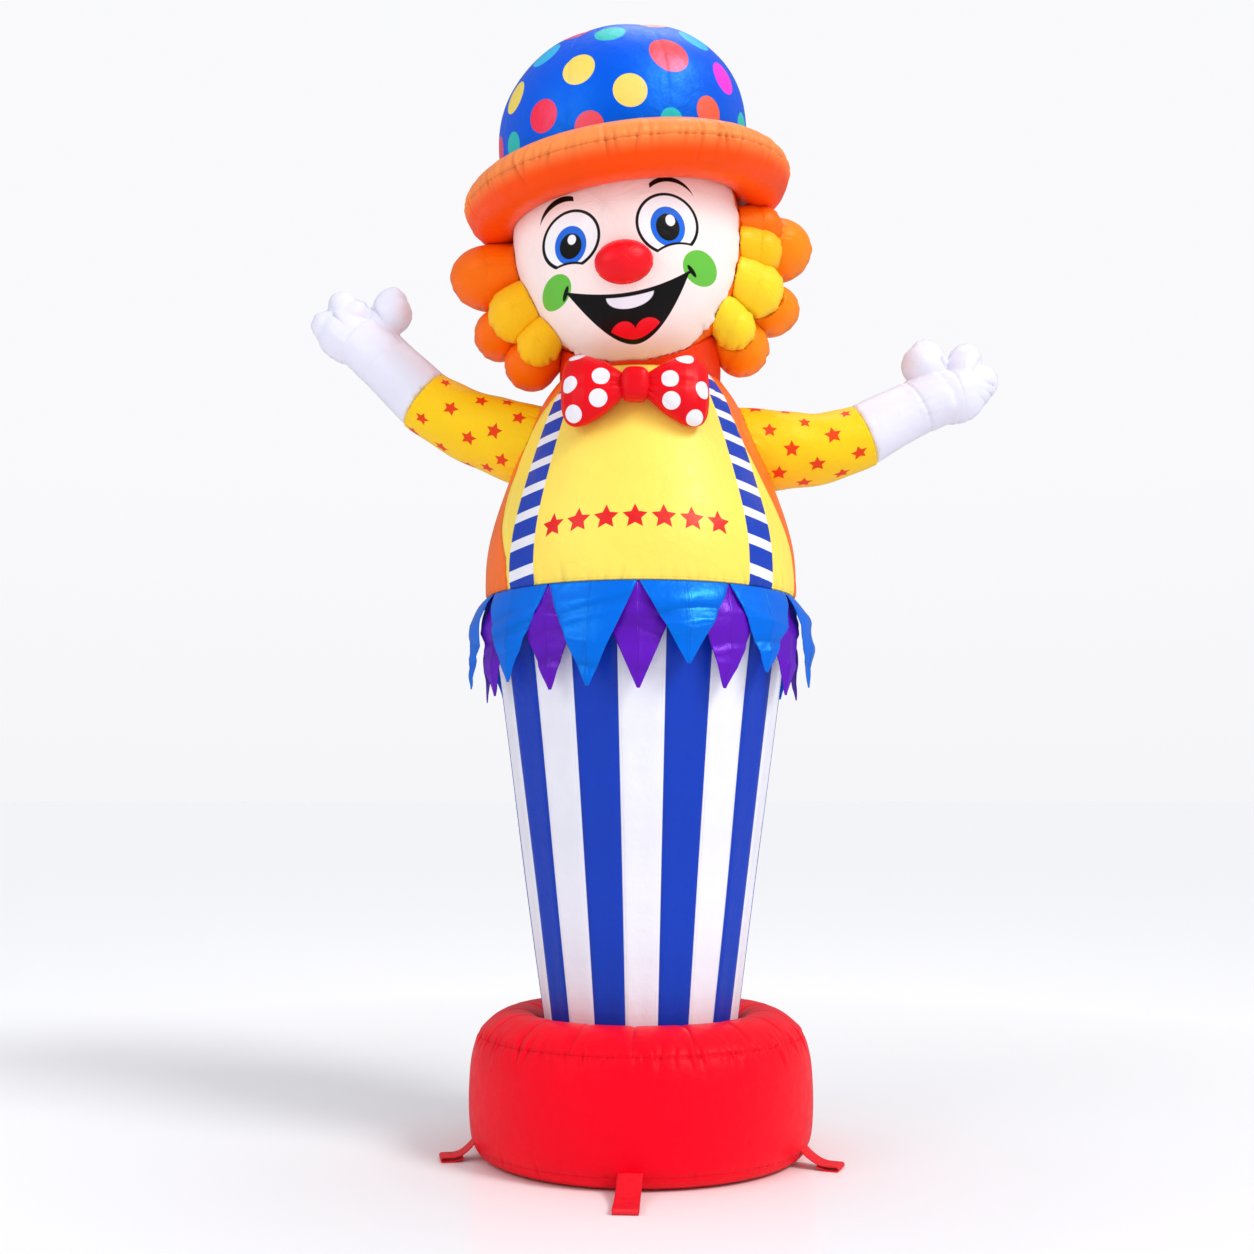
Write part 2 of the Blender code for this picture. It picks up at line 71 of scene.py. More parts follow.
def soft_light(name, place, target, size, power, colour):
    """A square lamp that faces its target."""
    lamp = bpy.data.objects.new(name, bpy.data.lights.new(name, "AREA"))
    lamp.data.size = size
    lamp.data.energy = power
    lamp.data.color = colour[:3]
    lamp.location = place
    lamp.rotation_euler = (Vector(target) - Vector(place)).to_track_quat("-Z", "Y").to_euler()
    bpy.context.scene.collection.objects.link(lamp)


def new_material(name):
    """A material, its node tree and its shader."""
    material = bpy.data.materials.new(name)
    material.use_nodes = True
    return material, material.node_tree, material.node_tree.nodes["Principled BSDF"]


camera = bpy.data.objects.new("camera", bpy.data.cameras.new("camera"))
camera.data.lens = CAMERA_LENS
camera.location = CAMERA_PLACE
camera.rotation_euler = (math.pi / 2 + CAMERA_RISE, 0.0, 0.0)
bpy.context.scene.collection.objects.link(camera)
bpy.context.scene.camera = camera
bpy.context.scene.view_settings.view_transform = "Standard"

sky = bpy.data.worlds.new("sky")
sky.use_nodes = True
tree = sky.node_tree
glow, wall = tree.nodes["Background"], tree.nodes.new("ShaderNodeBackground")
path = tree.nodes.new("ShaderNodeLightPath")
dim = tree.nodes.new("ShaderNodeMath")
dim.operation = "MULTIPLY_ADD"
dim.inputs[1].default_value = SKY_IN_GLOSS - SKY_STRENGTH
dim.inputs[2].default_value = SKY_STRENGTH
tree.links.new(path.outputs["Is Glossy Ray"], dim.inputs[0])
glow.inputs["Color"].default_value = dye(246, 247, 251)
tree.links.new(dim.outputs[0], glow.inputs["Strength"])
way = tree.nodes.new("ShaderNodeSeparateXYZ")
tree.links.new(tree.nodes.new("ShaderNodeTexCoord").outputs["Generated"], way.inputs[0])
rise = tree.nodes.new("ShaderNodeMapRange")
for name, value in (("From Min", 0.0), ("From Max", 0.2), ("To Min", WALL_FOOT), ("To Max", WALL_TOP)):
    rise.inputs[name].default_value = value
tree.links.new(way.outputs[2], rise.inputs["Value"])
tree.links.new(rise.outputs["Result"], wall.inputs["Strength"])
wall.inputs["Color"].default_value = dye(253, 253, 255)
either = tree.nodes.new("ShaderNodeMixShader")
tree.links.new(path.outputs["Is Camera Ray"], either.inputs[0])
tree.links.new(glow.outputs[0], either.inputs[1])
tree.links.new(wall.outputs[0], either.inputs[2])
tree.links.new(either.outputs[0], tree.nodes["World Output"].inputs["Surface"])
bpy.context.scene.world = sky
sun = bpy.data.objects.new("sun", bpy.data.lights.new("sun", "SUN"))
sun.data.energy = SUN_STRENGTH
sun.data.angle = SUN_WIDTH
sun.rotation_euler = Vector(SUN_SIDE).to_track_quat("Z", "Y").to_euler()
bpy.context.scene.collection.objects.link(sun)
soft_light("gleam right", (2.2, -3.0, 3.4), (0.0, 0.0, 1.4), 1.2, 24.0, dye(255, 253, 250))
soft_light("gleam left", (-3.0, -2.8, 3.0), (0.0, 0.0, 1.7), 2.0, 30.0, dye(250, 251, 255))
soft_light("gleam above", (0.3, 0.6, 4.6), (0.0, 0.0, 1.0), 1.6, 18.0, dye(255, 255, 255))

bpy.ops.object.select_all(action="DESELECT")
bpy.ops.mesh.primitive_circle_add(vertices=96, radius=FLOOR_RADIUS, fill_type="NGON")
floor = bpy.context.object
floor.name = "floor"
board, tree, shader = new_material("floor board")
# Painted reflection: the board takes a darker colour for reflected rays only, so the cloth shows a dimmer
# floor in its gloss.
tone = tree.nodes.new("ShaderNodeMix")
tone.data_type = "RGBA"
tone.inputs[6].default_value = dye(250, 250, 251)
tone.inputs[7].default_value = dye(168, 168, 170)
tree.links.new(tree.nodes.new("ShaderNodeLightPath").outputs["Is Glossy Ray"], tone.inputs[0])
tree.links.new(tone.outputs[2], shader.inputs["Base Color"])
shader.inputs["Roughness"].default_value = 0.6
shader.inputs["Specular IOR Level"].default_value = 0.0
shader.inputs["Coat Roughness"].default_value = 0.16
away = tree.nodes.new("ShaderNodeVectorMath")
away.operation = "LENGTH"
tree.links.new(tree.nodes.new("ShaderNodeTexCoord").outputs["Object"], away.inputs[0])
polish = tree.nodes.new("ShaderNodeMapRange")
for name, value in (("From Min", 0.5), ("From Max", POLISHED_RADIUS), ("To Min", 0.55), ("To Max", 0.0)):
    polish.inputs[name].default_value = value
tree.links.new(away.outputs["Value"], polish.inputs["Value"])
tree.links.new(polish.outputs["Result"], shader.inputs["Coat Weight"])
floor.data.materials.append(board)


# The base: one red cushion ring of coated cloth that air keeps tight, with a well in its
# middle for the column. A side panel is sewn to a flat top of gores, and to the bottom,
# and both seams are gathered, so that narrow folds run across them.
BASE_OUTLINE = (
    # radius, height
    (0.3000, 0.0000),
    (0.3260, 0.0110),
    (0.3410, 0.0400),
    (0.3465, 0.0900),
    (0.3465, 0.1450),
    (0.3420, 0.1950),
    (0.3280, 0.2380),
    (0.3070, 0.2620),
    (0.2780, 0.2790),
    (0.2500, 0.2830),
    (0.2250, 0.2780),
    (0.2065, 0.2640),
    (0.1985, 0.2440),
    (0.1885, 0.1900),
)
BASE_TOP_SEAM = (0.3280, 0.2380)
BASE_LOW_SEAM = (0.3360, 0.0290)
BASE_GORES = 17
BASE_GORE_TURN = math.radians(-3.2)         # of the gore seam nearest the front
RED = dye(250, 2, 32)
WHITE_GLEAM = (1.0, 1.0, 1.0, 1.0)
THREAD_PITCH = 0.0011                       # of the weave
STITCH_PITCH, STITCH_ROW = 0.0042, 0.0055   # the second is the row's distance from its seam


def read_points(piece):
    """A mesh's points as rows of x, y and z."""
    flat = np.empty(len(piece.data.vertices) * 3, np.float32)
    piece.data.vertices.foreach_get("co", flat)
    return flat.reshape(-1, 3).astype(float)


def write_points(piece, points):
    """Moves a mesh's points, and returns its normals there."""
    piece.data.vertices.foreach_set("co", points.astype(np.float32).ravel())
    piece.data.update()
    flat = np.empty(len(points) * 3, np.float32)
    piece.data.vertex_normals.foreach_get("vector", flat)
    return flat.reshape(-1, 3).astype(float)


def from_axis(points):
    """Each point's distance from the Z axis."""
    return np.hypot(points[:, 0], points[:, 1])


def running(steps):
    """The running sum of steps, from 0."""
    return np.concatenate([[0.0], np.cumsum(steps)])


def length_along(curve):
    """How far along a curve each of its rows lies."""
    return running(np.linalg.norm(np.diff(curve, axis=0), axis=1))


def wrap(around, radius):
    """The run round a piece of a radius, and its whole length."""
    return around * radius, math.tau * radius


def smooth_outline(points, spacing, seams=(), fine=0.002, reach=0.02):
    """Rows of radius, height and run along a smooth curve through an outline's points.

    They are spacing apart, and fine apart within reach of a seam.
    """
    knots = np.array(points, float)
    ends = np.vstack([2 * knots[0] - knots[1], knots, 2 * knots[-1] - knots[-2]])
    t = np.linspace(0.0, 1.0, 40, endpoint=False)[:, None]
    spans = []
    for a, b, c, d in zip(ends, ends[1:], ends[2:], ends[3:]):
        bend = 2 * a - 5 * b + 4 * c - d
        twist = 3 * b - a - 3 * c + d
        spans.append(0.5 * (2 * b + (c - a) * t + bend * t**2 + twist * t**3))
    curve = np.vstack([*spans, knots[-1:]])
    curve[:, 0] = np.maximum(curve[:, 0], 0.0)
    steps = np.linalg.norm(np.diff(curve, axis=0), axis=1)
    run = running(steps)
    density = np.full(len(run), 1 / spacing)
    for seam in seams:
        at = run[np.argmin(np.linalg.norm(curve - np.array(seam), axis=1))]
        density += (1 / fine - 1 / spacing) * np.exp(-(((run - at) / reach) ** 2))
    count = running(steps * (density[1:] + density[:-1]) / 2)
    rows = np.linspace(0.0, count[-1], math.ceil(count[-1]) + 1)
    runs = np.interp(rows, count, run)
    return np.column_stack([np.interp(runs, run, curve[:, 0]), np.interp(runs, run, curve[:, 1]), runs])


def run_at(outline, point):
    """How far along the outline a point on it lies."""
    return outline[np.argmin(np.linalg.norm(outline[:, :2] - np.array(point), axis=1)), 2]


def turned(name, outline, steps):
    """A round shell on the outline, its points, and their turn from the front and their run.

    It is a cylinder cut into one ring for each row of the outline.
    """
    bpy.ops.object.select_all(action="DESELECT")
    bpy.context.tool_settings.mesh_select_mode = (False, True, False)
    bpy.ops.mesh.primitive_cylinder_add(vertices=steps, radius=1.0, depth=1.0, end_fill_type="TRIFAN")
    piece = bpy.context.object
    piece.name = name
    heights = read_points(piece)[:, 2]
    ends = np.empty(len(piece.data.edges) * 2, np.int32)
    piece.data.edges.foreach_get("vertices", ends)
    upright = np.abs(heights[ends[0::2]] - heights[ends[1::2]]) > 0.5
    piece.data.polygons.foreach_set("select", np.zeros(len(piece.data.polygons), bool))
    piece.data.vertices.foreach_set("select", np.zeros(len(heights), bool))
    piece.data.edges.foreach_set("select", upright)
    bpy.ops.object.mode_set(mode="EDIT")
    bpy.ops.mesh.subdivide(number_cuts=len(outline) - 2)
    bpy.ops.object.mode_set(mode="OBJECT")
    x, y, level = read_points(piece).T
    row = (level + 0.5) * (len(outline) - 1)
    places = np.arange(len(outline))
    radius = np.interp(row, places, outline[:, 0]) * np.hypot(x, y)
    height = np.interp(row, places, outline[:, 1])
    run = np.interp(row, places, outline[:, 2])
    around = np.arctan2(x, -y)
    points = np.column_stack([radius * np.sin(around), -radius * np.cos(around), height])
    return piece, points, around, run


def puckers(along, across, lap, count, length, width, depth, seed):
    """How far a gathered seam's folds push each point out: narrow troughs of uneven size.

    Lap is the seam's whole length. Length, width and depth are those of the largest fold.
    """
    draw = random.Random(seed)
    near = np.abs(across) < length
    along, across = along[near], across[near]
    push = np.zeros(len(along))
    for index in range(count):
        size = 0.16 + 0.84 * draw.random() ** 1.7
        place = lap * (index + draw.uniform(-0.42, 0.42)) / count
        slant = draw.uniform(-0.30, 0.30)
        reach = length * (0.25 + 0.75 * size) * draw.uniform(0.6, 1.0)
        side = draw.choice((-1, 1))
        offset = (along - place - slant * across + lap / 2) % lap - lap / 2
        away = np.clip(np.abs(across) / reach, 0.0, 1.0)
        wide = width * (0.7 + 0.5 * size) * (1.0 + 0.6 * away)
        fade = depth * size * (1.0 - away) ** 1.1
        push -= fade * np.exp(-np.sqrt(offset**2 + 0.0005**2) / wide)
        push += 0.45 * fade * np.exp(-(((offset - side * 2.6 * wide) / (1.5 * wide)) ** 2))
    whole = np.zeros(len(near))
    whole[near] = push
    return whole


def groove(across, width, depth):
    """The trough that a seam draws into the tight cloth."""
    return -depth * np.exp(-((across / width) ** 2))


def swell(along, lap, waves, depth, seed):
    """A slow wave along a seam, where the cloth between its folds stands out."""
    draw = random.Random(seed)
    whole = np.zeros(len(along))
    for wave in waves:
        whole += depth / len(waves) * np.sin(math.tau * wave * along / lap + draw.uniform(0, math.tau))
    return whole


def lay_uv(piece, along, across, lap):
    """The cloth's own coordinates in metres: u along its seam and v across it."""
    corners = np.empty(len(piece.data.loops), np.int32)
    piece.data.loops.foreach_get("vertex_index", corners)
    starts = np.empty(len(piece.data.polygons), np.int32)
    totals = np.empty(len(piece.data.polygons), np.int32)
    piece.data.polygons.foreach_get("loop_start", starts)
    piece.data.polygons.foreach_get("loop_total", totals)
    u, v = along[corners], across[corners]
    highest = np.repeat(np.maximum.reduceat(u, starts), totals)
    u = np.where(highest - u > lap / 2, u + lap, u)
    for old in list(piece.data.uv_layers):
        piece.data.uv_layers.remove(old)
    layer = piece.data.uv_layers.new(name="cloth")
    layer.data.foreach_set("uv", np.column_stack([u, v]).astype(np.float32).ravel())


def mark_fold_shade(piece, push, depth):
    """Keeps how deep in a fold each point lies, from 0 to 1, for the painted shade that darkens the cloth's
    colour in its folds.
    """
    layer = piece.data.attributes.new("fold", "FLOAT", "POINT")
    layer.data.foreach_set("value", np.clip(-push / depth, 0.0, 1.0).astype(np.float32))


def feed(tree, socket, value):
    """Links an output to a socket, or sets the socket's own value."""
    if isinstance(value, bpy.types.NodeSocket):
        tree.links.new(value, socket)
    else:
        socket.default_value = value


def maths(tree, operation, *values):
    """A Math node's result."""
    node = tree.nodes.new("ShaderNodeMath")
    node.operation = operation
    for socket, value in zip(node.inputs, values):
        feed(tree, socket, value)
    return node.outputs[0]


def vector_maths(tree, operation, *values):
    """A Vector Math node's result, which is a number for a length or a distance."""
    node = tree.nodes.new("ShaderNodeVectorMath")
    node.operation = operation
    for socket, value in zip(node.inputs, values):
        feed(tree, socket, value)
    return node.outputs["Value" if operation in ("LENGTH", "DISTANCE") else "Vector"]


def split(tree, vector):
    """A vector's three parts."""
    node = tree.nodes.new("ShaderNodeSeparateXYZ")
    tree.links.new(vector, node.inputs[0])
    return tuple(node.outputs)


def front_turn(tree, x, y):
    """The turn about the Z axis from the front, in radians, towards +X."""
    return maths(tree, "ARCTAN2", x, maths(tree, "MULTIPLY", y, -1.0))


def between(tree, value, low, high, from_value=0.0, to_value=1.0):
    """A value's smooth rise from one result to another between two limits."""
    node = tree.nodes.new("ShaderNodeMapRange")
    node.interpolation_type = "SMOOTHSTEP"
    for name, given in (("Value", value), ("From Min", low), ("From Max", high),
                        ("To Min", from_value), ("To Max", to_value)):
        feed(tree, node.inputs[name], given)
    return node.outputs["Result"]


def over(tree, below, mask, above):
    """A colour laid over another where the mask is 1."""
    node = tree.nodes.new("ShaderNodeMix")
    node.data_type = "RGBA"
    feed(tree, node.inputs[0], mask)
    feed(tree, node.inputs[6], below)
    feed(tree, node.inputs[7], above)
    return node.outputs[2]


def node_group(name, inputs, outputs):
    """An empty node group with its sockets. Returns the tree and its two end nodes."""
    tree = bpy.data.node_groups.new(name, "ShaderNodeTree")
    for direction, sockets in (("INPUT", inputs), ("OUTPUT", outputs)):
        for socket, kind in sockets:
            tree.interface.new_socket(name=socket, in_out=direction, socket_type="NodeSocket" + kind)
    return tree, tree.nodes.new("NodeGroupInput"), tree.nodes.new("NodeGroupOutput")


def place_group(tree, group, **values):
    """A node group placed in a tree, with its inputs given by name."""
    node = tree.nodes.new("ShaderNodeGroup")
    node.node_tree = group
    for name, value in values.items():
        feed(tree, node.inputs[name], value)
    return node


def noise(tree, vector, scale, detail=2.0):
    """A Noise texture's value from 0 to 1."""
    node = tree.nodes.new("ShaderNodeTexNoise")
    feed(tree, node.inputs["Vector"], vector)
    node.inputs["Scale"].default_value = scale
    node.inputs["Detail"].default_value = detail
    return node.outputs["Fac"]


def taffeta_group():
    """The coated cloth: a fine plain weave, faint crinkles, slight changes of the dye, and painted shade
    that darkens it in its folds.
    """
    tree, start, end = node_group(
        "coated taffeta",
        [("Vector", "Vector"), ("Color", "Color"), ("Crinkle", "Float"), ("Fold", "Float")],
        [("Color", "Color"), ("Roughness", "Float"), ("Height", "Float")],
    )
    vector = start.outputs["Vector"]
    blotch = noise(tree, vector, 5.0)
    crinkle = noise(tree, vector, 38.0, 3.0)
    threads = []
    for part in split(tree, vector):
        threads.append(maths(tree, "SINE", maths(tree, "MULTIPLY", part, math.tau / THREAD_PITCH)))
    weave = maths(tree, "ADD", maths(tree, "MULTIPLY", threads[0], threads[1]), threads[2])
    shade = tree.nodes.new("ShaderNodeHueSaturation")
    tree.links.new(start.outputs["Color"], shade.inputs["Color"])
    tone = between(tree, blotch, 0.3, 0.7, 0.96, 1.03)
    # Painted shade: the colour is darkened by up to a quarter where a point lies deep in a fold.
    dim = maths(tree, "MULTIPLY_ADD", start.outputs["Fold"], -0.25, 1.0)
    tree.links.new(maths(tree, "MULTIPLY", tone, dim), shade.inputs["Value"])
    tree.links.new(shade.outputs[0], end.inputs["Color"])
    tree.links.new(between(tree, crinkle, 0.3, 0.7, 0.36, 0.46), end.inputs["Roughness"])
    dents = maths(tree, "MULTIPLY", maths(tree, "MULTIPLY", crinkle, start.outputs["Crinkle"]), 0.0022)
    height = maths(tree, "MULTIPLY_ADD", weave, 0.000012, dents)
    tree.links.new(height, end.inputs["Height"])
    return tree


def seam_group():
    """A sewn seam along v = 0: a dark line, and a row of stitches on both sides of it."""
    tree, start, end = node_group(
        "sewn seam",
        [("Color", "Color"), ("Along", "Float"), ("Across", "Float"), ("Strength", "Float")],
        [("Color", "Color"), ("Height", "Float")],
    )
    distance = maths(tree, "ABSOLUTE", start.outputs["Across"])
    line = between(tree, distance, 0.0004, 0.0019, 1.0, 0.0)
    from_row = maths(tree, "ABSOLUTE", maths(tree, "SUBTRACT", distance, STITCH_ROW))
    row = between(tree, from_row, 0.0003, 0.0008, 1.0, 0.0)
    beat = maths(tree, "FRACT", maths(tree, "MULTIPLY", start.outputs["Along"], 1 / STITCH_PITCH))
    thread = maths(tree, "MULTIPLY", row, maths(tree, "LESS_THAN", beat, 0.66))
    dark = tree.nodes.new("ShaderNodeHueSaturation")
    dark.inputs["Value"].default_value = 0.52
    tree.links.new(start.outputs["Color"], dark.inputs["Color"])
    both = maths(tree, "MAXIMUM", line, maths(tree, "MULTIPLY", thread, 0.45))
    both = maths(tree, "MULTIPLY", both, start.outputs["Strength"])
    tree.links.new(over(tree, start.outputs["Color"], both, dark.outputs[0]), end.inputs["Color"])
    raised = maths(tree, "MULTIPLY_ADD", thread, 0.0003, maths(tree, "MULTIPLY", line, -0.0005))
    tree.links.new(raised, end.inputs["Height"])
    return tree


TAFFETA = taffeta_group()
SEAM = seam_group()


def cloth(name, colour, paint=None, uv=True, crinkle=1.0, seam=0.4, shine=0.5, roughness=None,
          gleam=WHITE_GLEAM, index=1.5):
    """Coated cloth. Paint gives the colour of a print, gleam that of the dyed threads' shine."""
    material, tree, shader = new_material(name)
    coordinates = tree.nodes.new("ShaderNodeTexCoord")
    place = coordinates.outputs["Object"]
    vector, along, across = place, None, None
    if uv:
        vector = coordinates.outputs["UV"]
        along, across, _ = split(tree, vector)
    if paint is not None:
        colour = paint(tree, place, along, across)
    # The fold attribute feeds the painted shade in the cloth's folds.
    fold = tree.nodes.new("ShaderNodeAttribute")
    fold.attribute_name = "fold"
    weave = place_group(tree, TAFFETA, Vector=vector, Color=colour, Crinkle=crinkle)
    tree.links.new(fold.outputs["Fac"], weave.inputs["Fold"])
    painted, height = weave.outputs["Color"], weave.outputs["Height"]
    if uv:
        sewn = place_group(tree, SEAM, Color=painted, Along=along, Across=across, Strength=seam)
        painted = sewn.outputs["Color"]
        height = maths(tree, "ADD", height, sewn.outputs["Height"])
    bump = tree.nodes.new("ShaderNodeBump")
    bump.inputs["Distance"].default_value = 1.0
    bump.inputs["Strength"].default_value = 0.8
    tree.links.new(height, bump.inputs["Height"])
    tree.links.new(bump.outputs[0], shader.inputs["Normal"])
    tree.links.new(painted, shader.inputs["Base Color"])
    if roughness is None:
        tree.links.new(weave.outputs["Roughness"], shader.inputs["Roughness"])
    else:
        shader.inputs["Roughness"].default_value = roughness
    shader.inputs["IOR"].default_value = index
    shader.inputs["Specular IOR Level"].default_value = shine
    shader.inputs["Specular Tint"].default_value = gleam
    return material


def finish(piece, material, slot, *nodes, fill=1.0):
    """Shades a piece smooth, gives it its cloth, and puts it in place of its solids."""
    piece.data.shade_smooth()
    piece.data.materials.clear()
    piece.data.materials.append(material)
    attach(piece, "root")
    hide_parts(*nodes)


base_line = smooth_outline(BASE_OUTLINE, 0.0085, (BASE_TOP_SEAM, BASE_LOW_SEAM), 0.0024, 0.016)
base, points, around, run = turned("base_cushion", base_line, 840)
along, lap = wrap(around, BASE_TOP_SEAM[0])
from_top_seam = run - run_at(base_line, BASE_TOP_SEAM)
from_low_seam = run - run_at(base_line, BASE_LOW_SEAM)
normals = write_points(base, points)
inward = np.clip(from_top_seam / 0.04, 0.0, 1.0)
gore = (around - BASE_GORE_TURN) / math.tau * BASE_GORES
from_gore = np.abs(gore - np.round(gore)) * math.tau / BASE_GORES * from_axis(points)
rim = np.exp(-((from_top_seam / 0.05) ** 2))
push = puckers(along, from_top_seam, lap, 124, 0.048, 0.0025, 0.0054, 3)
push += puckers(along, from_low_seam, lap, 84, 0.034, 0.0027, 0.0030, 4)
push += groove(from_top_seam, 0.0032, 0.0016) + groove(from_low_seam, 0.0032, 0.0008)
push += inward * (0.0008 - 0.0030 * np.exp(-from_gore / 0.004))
push += rim * swell(along, lap, (17, 23, 31, 47), 0.0012, 5)
push[points[:, 2] < 0.006] = 0.0
points += normals * push[:, None]
points[:, 2] = np.maximum(points[:, 2], 0.0)
write_points(base, points)
mark_fold_shade(base, push, 0.006)
lay_uv(base, along, np.minimum(np.abs(from_top_seam), np.abs(from_low_seam)), lap)


def gored(tree, place, along, across):
    """Red cloth with the thin dark lines of the gore seams on the cushion's top."""
    x, y, height = split(tree, place)
    turn = maths(tree, "SUBTRACT", front_turn(tree, x, y), BASE_GORE_TURN)
    share = maths(tree, "MULTIPLY", turn, BASE_GORES / math.tau)
    off = maths(tree, "ABSOLUTE", maths(tree, "SUBTRACT", share, maths(tree, "ROUND", share)))
    line = between(tree, off, 0.003, 0.012, 0.36, 0.0)
    on_top = between(tree, height, BASE_TOP_SEAM[1] - 0.002, BASE_TOP_SEAM[1] + 0.002)
    return over(tree, RED, maths(tree, "MULTIPLY", line, on_top), dye(130, 0, 16))


red_cloth = cloth("red taffeta", RED, gored, seam=0.3, gleam=dye(255, 110, 120))
finish(base, red_cloth, "base_red", "base")


# The tethers: five straps of red webbing sewn into the base's lower seam. Each slopes to
# the floor, and its end is folded back under it and sewn down, which leaves a flat loop
# for a stake.
TETHER_WIDTH = 0.046
TETHER_THICKNESS = 0.0025
RIB_PITCH, CORD_PITCH = 0.0018, 0.0026      # of the weave, along the strap and across it
SELVEDGE = 0.020                            # its distance from the strap's middle
TETHERS = (
    # angle from the front towards +X in degrees, distance of the tip from the axis
    (-3.8, 0.474),
    (68.0, 0.414),
    (144.0, 0.440),
    (-148.0, 0.440),
    (-79.0, 0.404),
)
TETHER_ROOT = (0.334, 0.040)                # radius and height, inside the base's lower seam
TETHER_LOOP_LENGTH = 0.050
TETHER_LOOP_HOLE = 0.006


def webbing(name, colour):
    """Woven polyester webbing: cords across its width, a flat selvedge and a little dust."""
    material, tree, shader = new_material(name)
    coordinates = tree.nodes.new("ShaderNodeTexCoord")
    along, across, _ = split(tree, coordinates.outputs["UV"])
    rib = maths(tree, "SINE", maths(tree, "MULTIPLY", along, math.tau / RIB_PITCH))
    cord = maths(tree, "SINE", maths(tree, "MULTIPLY", across, math.tau / CORD_PITCH))
    twill = maths(tree, "MULTIPLY", rib, cord)
    edge = between(tree, maths(tree, "ABSOLUTE", across), SELVEDGE - 0.0005, SELVEDGE + 0.0005)
    shade = tree.nodes.new("ShaderNodeHueSaturation")
    shade.inputs["Color"].default_value = colour
    tone = between(tree, maths(tree, "MULTIPLY_ADD", edge, -0.5, twill), -1.0, 1.0, 0.84, 1.1)
    tree.links.new(tone, shade.inputs["Value"])
    tree.links.new(shade.outputs[0], shader.inputs["Base Color"])
    bump = tree.nodes.new("ShaderNodeBump")
    bump.inputs["Distance"].default_value = 1.0
    tree.links.new(maths(tree, "MULTIPLY", twill, 0.00018), bump.inputs["Height"])
    tree.links.new(bump.outputs[0], shader.inputs["Normal"])
    grain = noise(tree, coordinates.outputs["UV"], 90.0)
    tree.links.new(between(tree, grain, 0.3, 0.7, 0.42, 0.6), shader.inputs["Roughness"])
    return material


def strap_middle(tip):
    """The strap's run from root to tip and back under itself, as radius, height and run."""
    top = 1.5 * TETHER_THICKNESS + TETHER_LOOP_HOLE
    low = 0.5 * TETHER_THICKNESS
    bend = (top - low) / 2
    heel = tip - TETHER_LOOP_LENGTH + bend
    root_radius, root_height = TETHER_ROOT
    landing = tip - TETHER_LOOP_LENGTH / 2
    line = []
    for share in np.linspace(0.0, 1.0, 30):
        height = top + (root_height - top) * (1 - share) ** 2
        line.append((root_radius + (landing - root_radius) * share, height))
    for turn in np.linspace(0.0, math.pi, 14):
        line.append((tip - bend - low + bend * math.sin(turn), low + bend * (1 + math.cos(turn))))
    for share in np.linspace(0.1, 1.0, 12):
        x = tip - bend - low + (heel - tip + bend + low) * share
        line.append((x, low + (top - TETHER_THICKNESS - 0.0004 - low) * max(share - 0.55, 0.0) / 0.45))
    return np.column_stack([np.array(line), length_along(line)])


def grid(name, columns, rows):
    """A flat grid, its points, and their share across and down."""
    bpy.ops.object.select_all(action="DESELECT")
    bpy.ops.mesh.primitive_grid_add(x_subdivisions=columns, y_subdivisions=rows, size=1.0)
    piece = bpy.context.object
    piece.name = name
    points = read_points(piece)
    return piece, points, points[:, 0] * 2, 0.5 - points[:, 1]


def select_only(piece):
    """Makes a piece the active object and the only selected one."""
    bpy.ops.object.select_all(action="DESELECT")
    bpy.context.view_layer.objects.active = piece
    piece.select_set(True)


def thicken(piece, thickness):
    """Gives a sheet its thickness, half to either side."""
    wall = piece.modifiers.new("thickness", "SOLIDIFY")
    wall.thickness = thickness
    wall.offset = 0.0
    wall.use_even_offset = True
    select_only(piece)
    bpy.ops.object.modifier_apply(modifier=wall.name)


red_webbing = webbing("red webbing", dye(248, 4, 34))
for index, (degrees, tip) in enumerate(TETHERS):
    middle = strap_middle(tip)
    strap, points, across, down = grid(f"tether_strap_{index + 1}", 18, 90)
    length = middle[-1, 2]
    distance = down * length
    radius = np.interp(distance, middle[:, 2], middle[:, 0])
    height = np.interp(distance, middle[:, 2], middle[:, 1])
    angle = math.radians(degrees)
    sag = 0.0012 * np.sin(down * 9 + index) * (1 - across**2) * (distance < tip - 0.36)
    side = across * TETHER_WIDTH / 2
    points = np.column_stack([
        side * math.cos(angle) + radius * math.sin(angle),
        side * math.sin(angle) - radius * math.cos(angle),
        height + sag,
    ])
    write_points(strap, points)
    lay_uv(strap, distance, side, 10.0)
    thicken(strap, TETHER_THICKNESS)
    points = read_points(strap)
    points[:, 2] = np.maximum(points[:, 2], 0.0)
    write_points(strap, points)
    finish(strap, red_webbing, "tether_webbing", f"tether_{index + 1}", fill=None)


# The column: one tapered tube of twenty stripes, ten white and ten blue, sewn together
# along their edges. It stands in the base's well, and air keeps it upright.
COLUMN_FOOT = (0.1870, 0.1903)              # radius, height
COLUMN_TOP = (0.3155, 1.1197)
COLUMN_OUTLINE = (COLUMN_FOOT, (0.2190, 0.423), (0.2512, 0.655), (0.2834, 0.888), COLUMN_TOP)
STRIPES = 20
WHITE = dye(238, 238, 247)
STRIPE_BLUE = dye(0, 56, 184)


def striped(tree, place, along, across):
    """White and blue by turns, with a white stripe at the front."""
    x, y, _ = split(tree, place)
    stripe = maths(tree, "MULTIPLY_ADD", front_turn(tree, x, y), STRIPES / math.tau, STRIPES)
    wave = maths(tree, "PINGPONG", stripe, 1.0)
    return over(tree, WHITE, between(tree, wave, 0.497, 0.503), STRIPE_BLUE)


